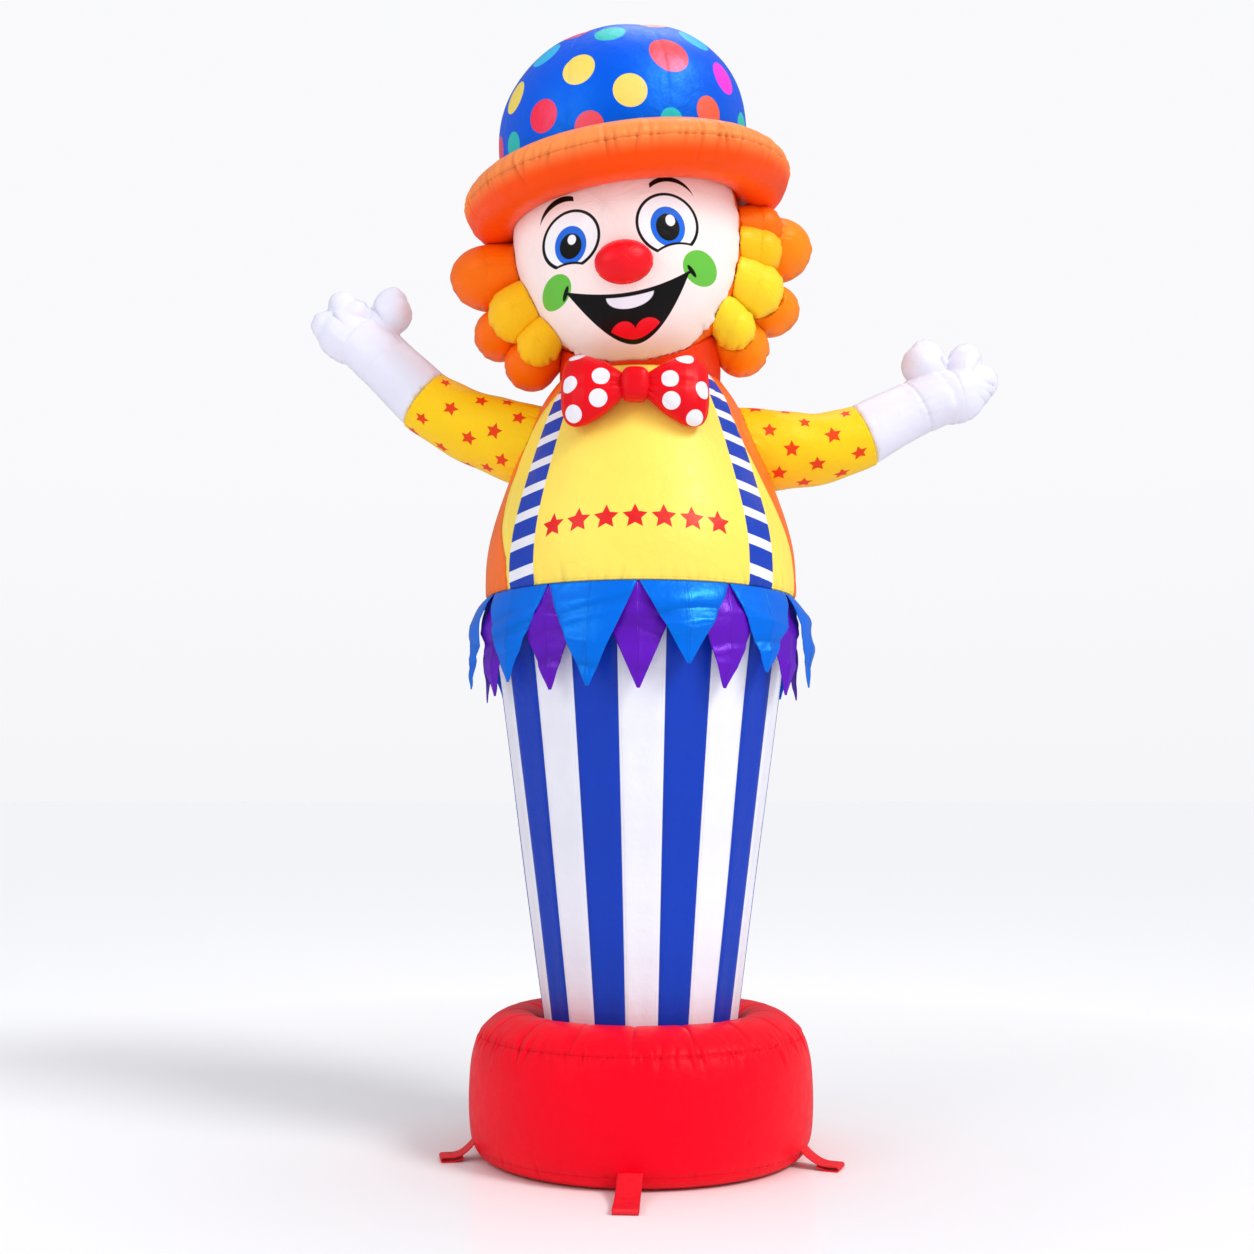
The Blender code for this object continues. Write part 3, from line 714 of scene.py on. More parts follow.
column_line = smooth_outline(COLUMN_OUTLINE, 0.0105)
column, points, around, run = turned("column_tube", column_line, 440)
normals = write_points(column, points)
along, lap = wrap(around, COLUMN_TOP[0])
stripe = around / math.tau * STRIPES + 0.5
from_stripe_seam = (stripe - np.round(stripe)) * math.tau / STRIPES * from_axis(points)
height = points[:, 2]
belt = np.clip((height - 1.02) / 0.1, 0.0, 1.0)
push = groove(from_stripe_seam, 0.005, 0.0016) + 0.0012 * np.cos(stripe * math.tau)
push += swell(around, math.tau, (3, 5, 8), 0.0016, 7) * np.sin(height * 9)
push += puckers(along, height - COLUMN_TOP[1], lap, 90, 0.05, 0.004, 0.002, 8)
push -= 0.0022 * belt
points += normals * (push * (run > 0.001) * (run < column_line[-1, 2] - 0.001))[:, None]
write_points(column, points)
lay_uv(column, run, np.abs(from_stripe_seam), 10.0)
column_cloth = cloth("striped taffeta", WHITE, striped, gleam=dye(196, 212, 255))
finish(column, column_cloth, "column_stripes", "column")


# The pennants: two layers of eleven pointed flags of thin cloth, the blue ones in front of
# the gaps of the purple ones. Their wide ends are caught in the belt seam. The air that
# leaves the seams lifts their tips, and each has a sewn fold down its middle.
PENNANTS = 11
PENNANT_THICKNESS = 0.0012
PENNANT_TOP = 1.1197
PENNANT_PITCH = math.tau / PENNANTS
PENNANT_HALF_ANGLE = PENNANT_PITCH / 2 - 0.0035
PENNANT_TIP_SHARE = 0.03
FRONT_TURN = math.radians(-1.2)
PURPLE_RADIUS, BLUE_RADIUS = 0.3174, 0.3206
PURPLE_LAYER = (
    # drop, flare, swing in degrees, ridge, how soon below the belt it reaches its flare
    (0.206, 0.012, 0.0, 0.004, 3),
    (0.204, 0.012, -3.0, 0.004, 3),
    (0.209, 0.013, -5.0, 0.003, 3),
    (0.206, 0.012, -1.0, 0.004, 3),
    (0.210, 0.011, 1.0, 0.004, 3),
    (0.202, 0.012, 0.0, 0.003, 3),
    (0.212, 0.011, -1.0, 0.004, 3),
    (0.205, 0.013, 1.0, 0.004, 3),
    (0.210, 0.012, 0.0, 0.003, 3),
    (0.210, 0.013, 5.0, 0.004, 3),
    (0.206, 0.012, 1.8, 0.004, 3),
)
BLUE_LAYER = (
    # drop, flare, swing in degrees, ridge, how soon below the belt it reaches its flare
    (0.202, 0.021, 0.0, 0.005, 3),
    (0.161, 0.025, -0.5, 0.005, 3),
    (0.170, 0.023, -3.5, 0.004, 3),
    (0.188, 0.032, -4.5, 0.004, 6),
    (0.196, 0.020, 3.0, 0.005, 3),
    (0.186, 0.023, -1.5, 0.004, 3),
    (0.200, 0.021, 0.5, 0.005, 3),
    (0.178, 0.025, 1.5, 0.004, 3),
    (0.192, 0.020, -3.0, 0.005, 3),
    (0.190, 0.031, 4.0, 0.004, 8),
    (0.187, 0.022, 1.0, 0.005, 3),
)
PENNANT_COLOURS = {
    # cloth, gleam
    "blue": (dye(0, 102, 230), dye(60, 196, 255)),
    "purple": (dye(96, 10, 188), dye(176, 110, 255)),
}
PENNANT_CREASES = 7
PENNANT_TWIST = 0.026                       # how far the wind turns the flags at the sides


def pennant(name, centre, radius, shape, material, slot, node, seed):
    """One pointed flag on its solid's curve, with soft creases across it."""
    drop, flare, swing, ridge, spread = shape
    draw = random.Random(seed)
    flag, points, across, fall = grid(name, 26, 44)
    width = 1.0 - fall * (1.0 - PENNANT_TIP_SHARE)
    angle = centre + math.radians(swing) * fall**2 + PENNANT_HALF_ANGLE * across * width
    lift = flare * (1.0 - (1.0 - fall) ** spread)
    lift += ridge * (1.0 - np.abs(across)) * np.sin(fall * math.pi)
    lift += 0.0012 * np.exp(-((across * width * 0.09 / 0.004) ** 2)) * fall
    hang = np.sin(np.clip(fall, 0.0, 1.0) * math.pi) ** 0.6
    creases = np.zeros(len(points))
    for _ in range(PENNANT_CREASES):
        at, tilt, bow = draw.uniform(0.08, 0.9), draw.uniform(-0.16, 0.16), draw.uniform(-0.08, 0.08)
        soft, deep = draw.uniform(0.03, 0.06), draw.choice((-1, 1)) * draw.uniform(0.0018, 0.0046)
        from_crease = fall - at - tilt * across * width - bow * (across * width) ** 2
        creases += deep * hang * np.exp(-np.sqrt(from_crease**2 + 0.008**2) / soft)
    slant = draw.uniform(-0.5, 0.5) * across * width
    lift += creases + 0.0018 * hang * np.sin(fall * 15 + slant * 6 + draw.uniform(0, 6))
    lift += 0.0014 * fall * np.sin(across * width * 7 + draw.uniform(0, 6))
    sideways = PENNANT_TWIST * math.sin(centre) ** 3 * max(math.cos(centre), 0.0) ** 0.25
    lift += sideways * across * width * (1.0 - (1.0 - fall) ** 3)
    reach = radius + np.maximum(lift, -0.001 * (1.0 - fall))
    height = PENNANT_TOP - drop * fall
    points = np.column_stack([reach * np.sin(angle), -reach * np.cos(angle), height])
    write_points(flag, points)
    mark_fold_shade(flag, creases, 0.0045)
    half_width = PENNANT_HALF_ANGLE * radius
    lay_uv(flag, drop * fall, half_width * across * width, 10.0)
    thicken(flag, PENNANT_THICKNESS)
    finish(flag, material, slot, node, fill=None)


for layer, radius, rows, shift in (
    ("purple", PURPLE_RADIUS, PURPLE_LAYER, 0.0),
    ("blue", BLUE_RADIUS, BLUE_LAYER, -PENNANT_PITCH / 2),
):
    tint, gleam = PENNANT_COLOURS[layer]
    satin = {"crinkle": 1.0, "seam": 0.28, "shine": 1.0, "roughness": 0.33, "index": 1.7}
    material = cloth(layer + " pennant satin", tint, gleam=gleam, **satin)
    for index, shape in enumerate(rows):
        centre = FRONT_TURN + index * PENNANT_PITCH + shift
        name = f"{layer}_flag_{index + 1}"
        node = f"pennant_{layer}_{index + 1}"
        pennant(name, centre, radius, shape, material, "pennant_" + layer, node, 100 * len(layer) + index)


# The torso: one bell of coated cloth. A yellow front panel carries two printed blue and
# white braces, and the sides and the back are orange. It is sewn to the column at the belt,
# where it is gathered, and to the neck at the shoulders.
BELT_HEIGHT = 1.120
TORSO_OUTLINE = (
    # radius, height
    (0.3225, BELT_HEIGHT),
    (0.3245, 1.145),
    (0.3235, 1.190),
    (0.3175, 1.235),
    (0.3050, 1.285),
    (0.2890, 1.335),
    (0.2715, 1.385),
    (0.2510, 1.440),
    (0.2305, 1.490),
    (0.2050, 1.540),
    (0.1770, 1.580),
)
LEFT_PANEL_SEAM = (
    # height, degrees from the front
    (1.12, -56), (1.18, -57), (1.27, -66), (1.40, -70), (1.46, -69), (1.54, -54.5),
)
RIGHT_PANEL_SEAM = (
    # height, degrees from the front
    (1.12, 78), (1.22, 72), (1.28, 67), (1.34, 61.7), (1.42, 55.6), (1.49, 53), (1.54, 47.4),
)
BRACE_MIDDLE, BRACE_HALF_WIDTH = 47.0, 6.5          # degrees from the front
BRACE_BANDS = 16.1                          # blue bands in a metre of height at the belt
BRACE_CLOSING = 10.9                        # how much closer they come, a metre up
BRACE_START = 4.55                          # the bands' count at the belt
STAR_ROW_HEIGHT = 1.243
STAR_ROW_RADIUS = 0.0255                    # of each star
STAR_ROW_PITCH, STAR_ROW_MIDDLE = 10.1, -2.3        # degrees
STARS_IN_ROW = 7
STAR_NOTCH = 0.49                           # of its inner corners, as a share of its radius
TORSO_YELLOW = dye(255, 227, 96)
TORSO_ORANGE = dye(255, 114, 38)
TORSO_SEAM = dye(176, 84, 20)
BRACE_BLUE = dye(0, 60, 184)
STAR_RED = dye(228, 4, 30)


def seam_angle(tree, height, rows):
    """A panel seam's angle from the front, in degrees, for a height."""
    low, high = rows[0][0], rows[-1][0]
    node = tree.nodes.new("ShaderNodeFloatCurve")
    curve = node.mapping.curves[0]
    for index, (at, degrees) in enumerate(rows):
        place = ((at - low) / (high - low), (degrees + 90) / 180)
        if index in (0, len(rows) - 1):
            curve.points[0 if index == 0 else -1].location = place
        else:
            curve.points.new(*place)
    node.mapping.update()
    span = tree.nodes.new("ShaderNodeMapRange")
    for name, value in (("Value", height), ("From Min", low), ("From Max", high)):
        feed(tree, span.inputs[name], value)
    tree.links.new(span.outputs[0], node.inputs["Value"])
    return maths(tree, "MULTIPLY_ADD", node.outputs[0], 180.0, -90.0)


def star_group():
    """A five-point star, point up, of radius 1 about the origin: 1 inside it and 0 outside."""
    inputs = [("X", "Float"), ("Y", "Float"), ("Edge", "Float")]
    tree, start, end = node_group("star", inputs, [("Mask", "Float")])
    x, y, edge = start.outputs["X"], start.outputs["Y"], start.outputs["Edge"]
    share = maths(tree, "PINGPONG", maths(tree, "ARCTAN2", x, y), math.pi / 5)
    away = maths(tree, "SQRT", maths(tree, "MULTIPLY_ADD", x, x, maths(tree, "MULTIPLY", y, y)))
    px = maths(tree, "MULTIPLY", away, maths(tree, "COSINE", share))
    py = maths(tree, "MULTIPLY", away, maths(tree, "SINE", share))
    nx, ny = STAR_NOTCH * math.cos(math.pi / 5), STAR_NOTCH * math.sin(math.pi / 5)
    size = math.hypot(nx - 1.0, ny)
    side = maths(tree, "MULTIPLY", py, (nx - 1.0) / size)
    side = maths(tree, "MULTIPLY_ADD", maths(tree, "SUBTRACT", px, 1.0), -ny / size, side)
    mask = between(tree, side, maths(tree, "MULTIPLY", edge, -1.0), edge)
    tree.links.new(mask, end.inputs["Mask"])
    return tree


STAR = star_group()


def torso_print(tree, place, along, across):
    """The panels, the braces and a row of plain stars."""
    x, y, height = split(tree, place)
    turn = front_turn(tree, x, y)
    degrees = maths(tree, "DEGREES", turn)
    aside = maths(tree, "ABSOLUTE", degrees)
    from_left = maths(tree, "SUBTRACT", degrees, seam_angle(tree, height, LEFT_PANEL_SEAM))
    from_right = maths(tree, "SUBTRACT", seam_angle(tree, height, RIGHT_PANEL_SEAM), degrees)
    left, right = between(tree, from_left, -0.15, 0.15), between(tree, from_right, -0.15, 0.15)
    panel = over(tree, TORSO_ORANGE, maths(tree, "MULTIPLY", left, right), TORSO_YELLOW)
    nearest = maths(tree, "SUBTRACT", 180.0, aside)
    for from_seam in (from_left, from_right):
        nearest = maths(tree, "MINIMUM", nearest, maths(tree, "ABSOLUTE", from_seam))
    panel = over(tree, panel, between(tree, nearest, 0.08, 0.36, 0.6, 0.0), TORSO_SEAM)
    side = maths(tree, "SUBTRACT", aside, BRACE_MIDDLE)
    off = maths(tree, "ABSOLUTE", side)
    brace = between(tree, off, BRACE_HALF_WIDTH - 0.12, BRACE_HALF_WIDTH + 0.12, 1.0, 0.0)
    up = maths(tree, "SUBTRACT", height, BELT_HEIGHT)
    bands = maths(tree, "MULTIPLY_ADD", up, BRACE_CLOSING / 2, BRACE_BANDS)
    bands = maths(tree, "MULTIPLY_ADD", up, bands, maths(tree, "MULTIPLY", side, 0.014))
    beat = maths(tree, "FRACT", maths(tree, "ADD", bands, BRACE_START))
    beat = maths(tree, "ABSOLUTE", maths(tree, "SUBTRACT", beat, 0.5))
    band = between(tree, beat, 0.318, 0.332, 1.0, 0.0)
    colour = over(tree, panel, brace, over(tree, WHITE, band, BRACE_BLUE))
    row = maths(tree, "MULTIPLY", maths(tree, "SUBTRACT", degrees, STAR_ROW_MIDDLE), 1 / STAR_ROW_PITCH)
    pitch = math.radians(STAR_ROW_PITCH) * 0.315 / STAR_ROW_RADIUS
    column_place = maths(tree, "MULTIPLY", maths(tree, "SUBTRACT", row, maths(tree, "ROUND", row)), pitch)
    arch = maths(tree, "MULTIPLY", maths(tree, "MULTIPLY", turn, turn), 0.03)
    above_row = maths(tree, "ADD", maths(tree, "SUBTRACT", height, STAR_ROW_HEIGHT), arch)
    rise = maths(tree, "MULTIPLY", above_row, 1 / STAR_ROW_RADIUS)
    star = place_group(tree, STAR, X=column_place, Y=rise, Edge=0.02)
    inside = maths(tree, "LESS_THAN", maths(tree, "ABSOLUTE", row), STARS_IN_ROW / 2)
    return over(tree, colour, maths(tree, "MULTIPLY", star.outputs[0], inside), STAR_RED)


torso_line = smooth_outline(TORSO_OUTLINE, 0.0068, (TORSO_OUTLINE[0],), 0.0026, 0.03)
torso, points, around, run = turned("torso_bell", torso_line, 520)
normals = write_points(torso, points)
along, lap = wrap(around, TORSO_OUTLINE[0][0])
height, degrees, radius = points[:, 2], np.degrees(around), from_axis(points)
push = puckers(along, run - 0.004, lap, 96, 0.05, 0.0036, 0.0046, 11)
push += groove(run, 0.004, 0.0016)
for rows in (LEFT_PANEL_SEAM, RIGHT_PANEL_SEAM):
    heights, angles = np.array(rows).T
    from_seam = np.radians(degrees - np.interp(height, heights, angles)) * radius
    push += groove(from_seam, 0.005, 0.0024) + 0.0012 * np.exp(-((np.abs(from_seam) - 0.016) / 0.012) ** 2)
    push += puckers(run, from_seam, 0.50, 22, 0.020, 0.0030, 0.0024, 14)
from_back_seam = np.radians(180.0 - np.abs(degrees)) * radius
push += groove(from_back_seam, 0.005, 0.0024)
push += puckers(run, from_back_seam, 0.50, 22, 0.020, 0.0030, 0.0024, 15)
push += swell(around, math.tau, (4, 7), 0.0016, 12) * np.sin((height - 1.1) * 11)
shoulder = np.clip((height - 1.50) / 0.08, 0.0, 1.0)
push += shoulder * swell(around, math.tau, (19, 27, 34), 0.003, 13)
ends = (run > 0.0005) & (run < torso_line[-1, 2] - 0.0005)
points += normals * (push * ends)[:, None]
write_points(torso, points)
mark_fold_shade(torso, push, 0.006)
lay_uv(torso, along, run, lap)
torso_cloth = cloth("torso taffeta", TORSO_YELLOW, torso_print, gleam=dye(255, 244, 196))
finish(torso, torso_cloth, "torso_yellow", "torso")


# The head: one filled ball, wider at the cheeks, sewn of a pale printed face panel and an
# orange back. The gathered seam between them runs round the face. The hat sits on it.
HEAD_CENTRE = np.array((-0.026, -0.120, 1.860))
HEAD_SEMI_AXES = np.array((0.237, 0.228, 0.2785))
HEAD_ROLL = math.radians(-8)
HEAD_POLE = np.array((0.2006, 0.9797, 0.0))         # towards the back, square to the seam
HEAD_SEAM_RISE = 0.083                      # of the seam in front of the ball's middle
HAT_CENTRE = (-0.027, -0.120, 1.957)
HAT_PLACE = (
    Matrix.Translation(HAT_CENTRE)
    @ Matrix.Rotation(math.radians(-7.2), 4, "Y")
    @ Matrix.Rotation(math.radians(3.5), 4, "X")
)
BRIM_UNDERSIDE = -0.029
FACE_TILT = math.radians(9.5)
SKIN = dye(254, 235, 231)
HEAD_ORANGE = dye(255, 112, 18)
INK = dye(8, 6, 8)
FACE_WHITE = dye(248, 248, 252)
EYE_BLUE = dye(14, 104, 226)
CHEEK_GREEN = dye(104, 194, 66)
TONGUE_RED = dye(250, 8, 32)
TEETH_WHITE = dye(244, 240, 250)
# The face below is in metres to the right of and above the head's centre, tilted with it.
EYES = (
    # ring's centre, ring's half axes, iris, its half axes, pupil, its half axes, glint,
    # its half axes, then three points of the lower lid
    ((-0.1215, -0.0489), (0.0583, 0.0550), (-0.1238, -0.0598), (0.0313, 0.0353),
     (-0.1240, -0.0618), (0.0217, 0.0231), (-0.1197, -0.0512), (0.0083, 0.0092),
     ((-0.1653, -0.0897), (-0.1265, -0.0923), (-0.0897, -0.1114))),
    ((0.0679, -0.0563), (0.0621, 0.0593), (0.0678, -0.0624), (0.0339, 0.0376),
     (0.0674, -0.0642), (0.0230, 0.0256), (0.0744, -0.0517), (0.0093, 0.0108),
     ((0.0335, -0.1107), (0.0840, -0.0949), (0.1129, -0.0984))),
)
EYE_LINE = 0.0058
LID_LINE = 0.0021
BROWS = (
    # three points of its upper edge, three of its lower edge, and where its blunt end is cut
    (((-0.1755, 0.0025), (-0.1290, 0.0385), (-0.1035, 0.0300)),
     ((-0.1755, 0.0025), (-0.1385, 0.0255), (-0.1035, 0.0200)), (-0.1035, -1)),
    (((0.0445, 0.0235), (0.0775, 0.0365), (0.1290, -0.0025)),
     ((0.0445, 0.0140), (0.0790, 0.0260), (0.1290, -0.0025)), (0.0445, 1)),
)
CHEEKS = (((-0.1651, -0.1268), (0.0303, 0.0274)), ((0.1209, -0.1372), (0.0350, 0.0311)))
MOUTH_MIDDLE, MOUTH_FOOT = -0.022, -0.250
MOUTH_OPENING = 0.01039                     # half its width, a millimetre above its foot
MOUTH_ROUNDNESS = 1.9
LIP_MIDDLE, LIP_HEIGHT, LIP_BEND, LIP_SLOPE = -0.025, -0.172, 2.0, -0.03
LIP_LINE, LIP_ENDS = 0.0026, (-0.1490, 0.1035)      # half its width, and where it ends
TEETH = ((-0.025, -0.172), (0.047, 0.0235))
TONGUE = (((-0.048, -0.2330), (0.0260, 0.0200)), ((0.0035, -0.2330), (0.0270, 0.0185)),
          ((-0.0225, -0.2400), (0.0300, 0.0130)))
CORNERS = (((-0.1480, -0.1380), (0.0045, 0.0125), -0.55), ((0.1030, -0.1435), (0.0045, 0.0125), 0.62))


def circle_through(a, b, c):
    """The centre and radius of the circle through three points."""
    (ax, ay), (bx, by), (cx, cy) = a, b, c
    d = 2 * (ax * (by - cy) + bx * (cy - ay) + cx * (ay - by))
    a2, b2, c2 = ax * ax + ay * ay, bx * bx + by * by, cx * cx + cy * cy
    x = (a2 * (by - cy) + b2 * (cy - ay) + c2 * (ay - by)) / d
    y = (a2 * (cx - bx) + b2 * (ax - cx) + c2 * (bx - ax)) / d
    return (x, y), math.hypot(ax - x, ay - y)


def ellipse_group():
    """An ellipse printed flat on the front: 1 inside it and 0 outside."""
    tree, start, end = node_group(
        "printed ellipse",
        [("Vector", "Vector"), ("Centre", "Vector"), ("Half Axes", "Vector"), ("Turn", "Float"),
         ("Edge", "Float")],
        [("Mask", "Float")],
    )
    turn = tree.nodes.new("ShaderNodeVectorRotate")
    turn.rotation_type = "Y_AXIS"
    shift = vector_maths(tree, "SUBTRACT", start.outputs["Vector"], start.outputs["Centre"])
    tree.links.new(shift, turn.inputs["Vector"])
    tree.links.new(start.outputs["Turn"], turn.inputs["Angle"])
    stretched = vector_maths(tree, "DIVIDE", turn.outputs[0], start.outputs["Half Axes"])
    right, _, up = split(tree, stretched)
    flat = tree.nodes.new("ShaderNodeCombineXYZ")
    tree.links.new(right, flat.inputs[0])
    tree.links.new(up, flat.inputs[2])
    length = vector_maths(tree, "LENGTH", flat.outputs[0])
    edge = start.outputs["Edge"]
    low, high = maths(tree, "SUBTRACT", 1.0, edge), maths(tree, "ADD", 1.0, edge)
    tree.links.new(between(tree, length, low, high, 1.0, 0.0), end.inputs["Mask"])
    return tree


ELLIPSE = ellipse_group()
PRINT_EDGE = 0.0006                         # over which a print's edge fades
FACE_DEPTH = 0.06                           # how far behind the head's middle the print may reach


def face_print(tree, place, along, across):
    """A plain smiling clown's face of circles, ellipses and arcs."""
    front = tree.nodes.new("ShaderNodeMapping")
    front.vector_type = "TEXTURE"
    front.inputs["Location"].default_value = HEAD_CENTRE
    front.inputs["Rotation"].default_value = (0.0, -FACE_TILT, 0.0)
    tree.links.new(place, front.inputs["Vector"])
    u, depth, w = split(tree, front.outputs[0])

    def spot(centre, axes, turn=0.0):
        middle, half = (centre[0], 0.0, centre[1]), (axes[0], 1.0, axes[1])
        values = {"Vector": front.outputs[0], "Centre": middle, "Half Axes": half,
                  "Turn": turn, "Edge": PRINT_EDGE / min(axes)}
        return place_group(tree, ELLIPSE, **values).outputs[0]

    def disc(centre, radius):
        return spot(centre, (radius, radius))

    def beyond(value):
        return between(tree, value, -PRINT_EDGE, PRINT_EDGE)

    def both(*masks):
        whole = masks[0]
        for mask in masks[1:]:
            whole = maths(tree, "MULTIPLY", whole, mask)
        return whole

    def without(mask, other):
        return maths(tree, "MULTIPLY", mask, maths(tree, "SUBTRACT", 1.0, other))

    colour = SKIN
    for centre, axes in CHEEKS:
        colour = over(tree, colour, spot(centre, axes), CHEEK_GREEN)
    from_middle = maths(tree, "ABSOLUTE", maths(tree, "SUBTRACT", u, MOUTH_MIDDLE))
    from_middle = maths(tree, "MULTIPLY", from_middle, 1 / MOUTH_OPENING)
    foot = maths(tree, "POWER", from_middle, MOUTH_ROUNDNESS)
    foot = maths(tree, "MULTIPLY_ADD", foot, 0.001, MOUTH_FOOT)
    above_foot = maths(tree, "SUBTRACT", w, foot)
    lip_side = maths(tree, "SUBTRACT", u, LIP_MIDDLE)
    lip = maths(tree, "MULTIPLY_ADD", lip_side, LIP_BEND, LIP_SLOPE)
    lip = maths(tree, "MULTIPLY_ADD", lip_side, lip, LIP_HEIGHT)
    below_lip = maths(tree, "SUBTRACT", lip, w)
    colour = over(tree, colour, both(beyond(above_foot), beyond(below_lip)), INK)
    teeth = both(spot(*TEETH), between(tree, below_lip, 0.0036, 0.0048))
    colour = over(tree, colour, teeth, TEETH_WHITE)
    tongue = spot(*TONGUE[0])
    for lobe in TONGUE[1:]:
        tongue = maths(tree, "MAXIMUM", tongue, spot(*lobe))
    colour = over(tree, colour, both(tongue, between(tree, above_foot, 0.0062, 0.0078)), TONGUE_RED)
    from_lip = maths(tree, "ABSOLUTE", below_lip)
    line = between(tree, from_lip, LIP_LINE - PRINT_EDGE, LIP_LINE + PRINT_EDGE, 1.0, 0.0)
    ends = both(maths(tree, "GREATER_THAN", u, LIP_ENDS[0]), maths(tree, "LESS_THAN", u, LIP_ENDS[1]))
    colour = over(tree, colour, both(line, ends), INK)
    for corner in CORNERS:
        colour = over(tree, colour, spot(*corner), INK)
    for ring, ring_axes, iris, iris_axes, pupil, pupil_axes, glint, glint_axes, lid in EYES:
        lid_centre, lid_radius = circle_through(*lid)
        closed = disc(lid_centre, lid_radius)
        line_axes = [axis - EYE_LINE for axis in ring_axes]
        colour = over(tree, colour, without(spot(ring, ring_axes), closed), INK)
        white = without(spot(ring, line_axes), closed)
        colour = over(tree, colour, white, FACE_WHITE)
        colour = over(tree, colour, both(white, spot(iris, iris_axes)), EYE_BLUE)
        colour = over(tree, colour, both(white, spot(pupil, pupil_axes)), INK)
        colour = over(tree, colour, spot(glint, glint_axes), FACE_WHITE)
        lid_line = without(disc(lid_centre, lid_radius + LID_LINE), disc(lid_centre, lid_radius - LID_LINE))
        colour = over(tree, colour, both(spot(ring, ring_axes), lid_line), INK)
    for upper, lower, (end, side) in BROWS:
        crescent = without(disc(*circle_through(*upper)), disc(*circle_through(*lower)))
        from_end = maths(tree, "MULTIPLY", maths(tree, "SUBTRACT", u, end), float(side))
        colour = over(tree, colour, both(crescent, beyond(from_end)), INK)
    in_front = maths(tree, "LESS_THAN", depth, FACE_DEPTH)
    colour = over(tree, SKIN, in_front, colour)
    return over(tree, colour, between(tree, across, -0.0003, 0.0003), HEAD_ORANGE)


def ball_outline(rows, seam=None, fine=1.0, reach=0.12):
    """Radius, height and angle of a ball of radius 1 from pole to pole, closer near a seam."""
    angle = np.linspace(0.0, math.pi, 721)
    density = np.ones(len(angle))
    if seam is not None:
        density += (fine - 1.0) * np.exp(-(((angle - seam) / reach) ** 2))
    count = running((density[1:] + density[:-1]) / 2)
    angle = np.interp(np.linspace(0.0, count[-1], rows), count, angle)
    angle[0], angle[-1] = 0.004, math.pi - 0.004
    return np.column_stack([np.sin(angle), -np.cos(angle), angle])


def turn_about_y(points, angle):
    """Turns rows of points about the Y axis, as Matrix.Rotation does."""
    matrix = np.array(Matrix.Rotation(angle, 3, "Y"))
    return points @ matrix.T


def in_ball(points, centre, semi_axes, roll=0.0, room=0.0):
    """Which points lie inside a ball."""
    local = turn_about_y(points - centre, -roll)
    return (((local / (np.asarray(semi_axes) + room)) ** 2).sum(1)) < 1.0


def in_head(points):
    """Which points lie inside the head, with a little room round it."""
    return in_ball(points, HEAD_CENTRE, HEAD_SEMI_AXES, HEAD_ROLL, 0.0005)


def press(points, centre, inside, steps=40):
    """Draws points back towards a centre until none is inside the neighbour."""
    share = np.ones(len(points))
    for _ in range(steps):
        held = inside(centre + (points - centre) * share[:, None])
        if not held.any():
            break
        share[held] -= 1.0 / steps
    high = np.minimum(share + 1.0 / steps, 1.0)
    moved = share < 1.0
    for _ in range(7):
        middle = (share + high) / 2
        held = inside(centre + (points - centre) * middle[:, None])
        high = np.where(held, middle, high)
        share = np.where(held | ~moved, share, middle)
    return centre + (points - centre) * share[:, None]


seam_at = math.acos(HEAD_SEAM_RISE)
head, points, around, angle = turned("head_ball", ball_outline(92, seam_at, 4.2), 700)
pole = HEAD_POLE / np.linalg.norm(HEAD_POLE)
sideways = np.array((pole[1], -pole[0], 0.0))
unit = points[:, :1] * sideways + points[:, 1:2] * np.array((0.0, 0.0, 1.0)) + points[:, 2:] * pole
points = turn_about_y(unit * HEAD_SEMI_AXES, HEAD_ROLL) + HEAD_CENTRE
normals = write_points(head, points)
facing = np.sign(((normals * (points - HEAD_CENTRE)).sum(1)).mean())
across = (angle - seam_at) * 0.232
along, lap = wrap(around, 0.25)
chin = 0.35 + 0.65 * np.clip((HEAD_CENTRE[2] - 0.05 - points[:, 2]) / 0.16, 0.0, 1.0)
push = chin * puckers(along, across, lap, 104, 0.056, 0.0030, 0.0058, 21)
push += groove(across, 0.004, 0.0022)
push += np.exp(-((across / 0.04) ** 2)) * swell(along, lap, (21, 29, 37), 0.0016, 22)
points += normals * (push * facing)[:, None]
hat_seat = np.array(HAT_PLACE @ Vector((0.0, 0.0, BRIM_UNDERSIDE - 0.0003)))
hat_up = np.array(HAT_PLACE.to_3x3() @ Vector((0.0, 0.0, 1.0)))
above = (points - hat_seat) @ hat_up
points -= np.maximum(above, 0.0)[:, None] * hat_up
write_points(head, points)
mark_fold_shade(head, push, 0.008)
lay_uv(head, along, across, lap)
finish(head, cloth("printed face taffeta", SKIN, face_print, shine=0.28), "head_print", "head")


# The nose: one red ball, sewn of a front and a back half and fixed to the face.
NOSE_CENTRE = np.array((-0.034, -0.345, 1.733))
NOSE_SEMI_AXES = np.array((0.057, 0.042, 0.0425))
NOSE_ROLL = math.radians(-6)

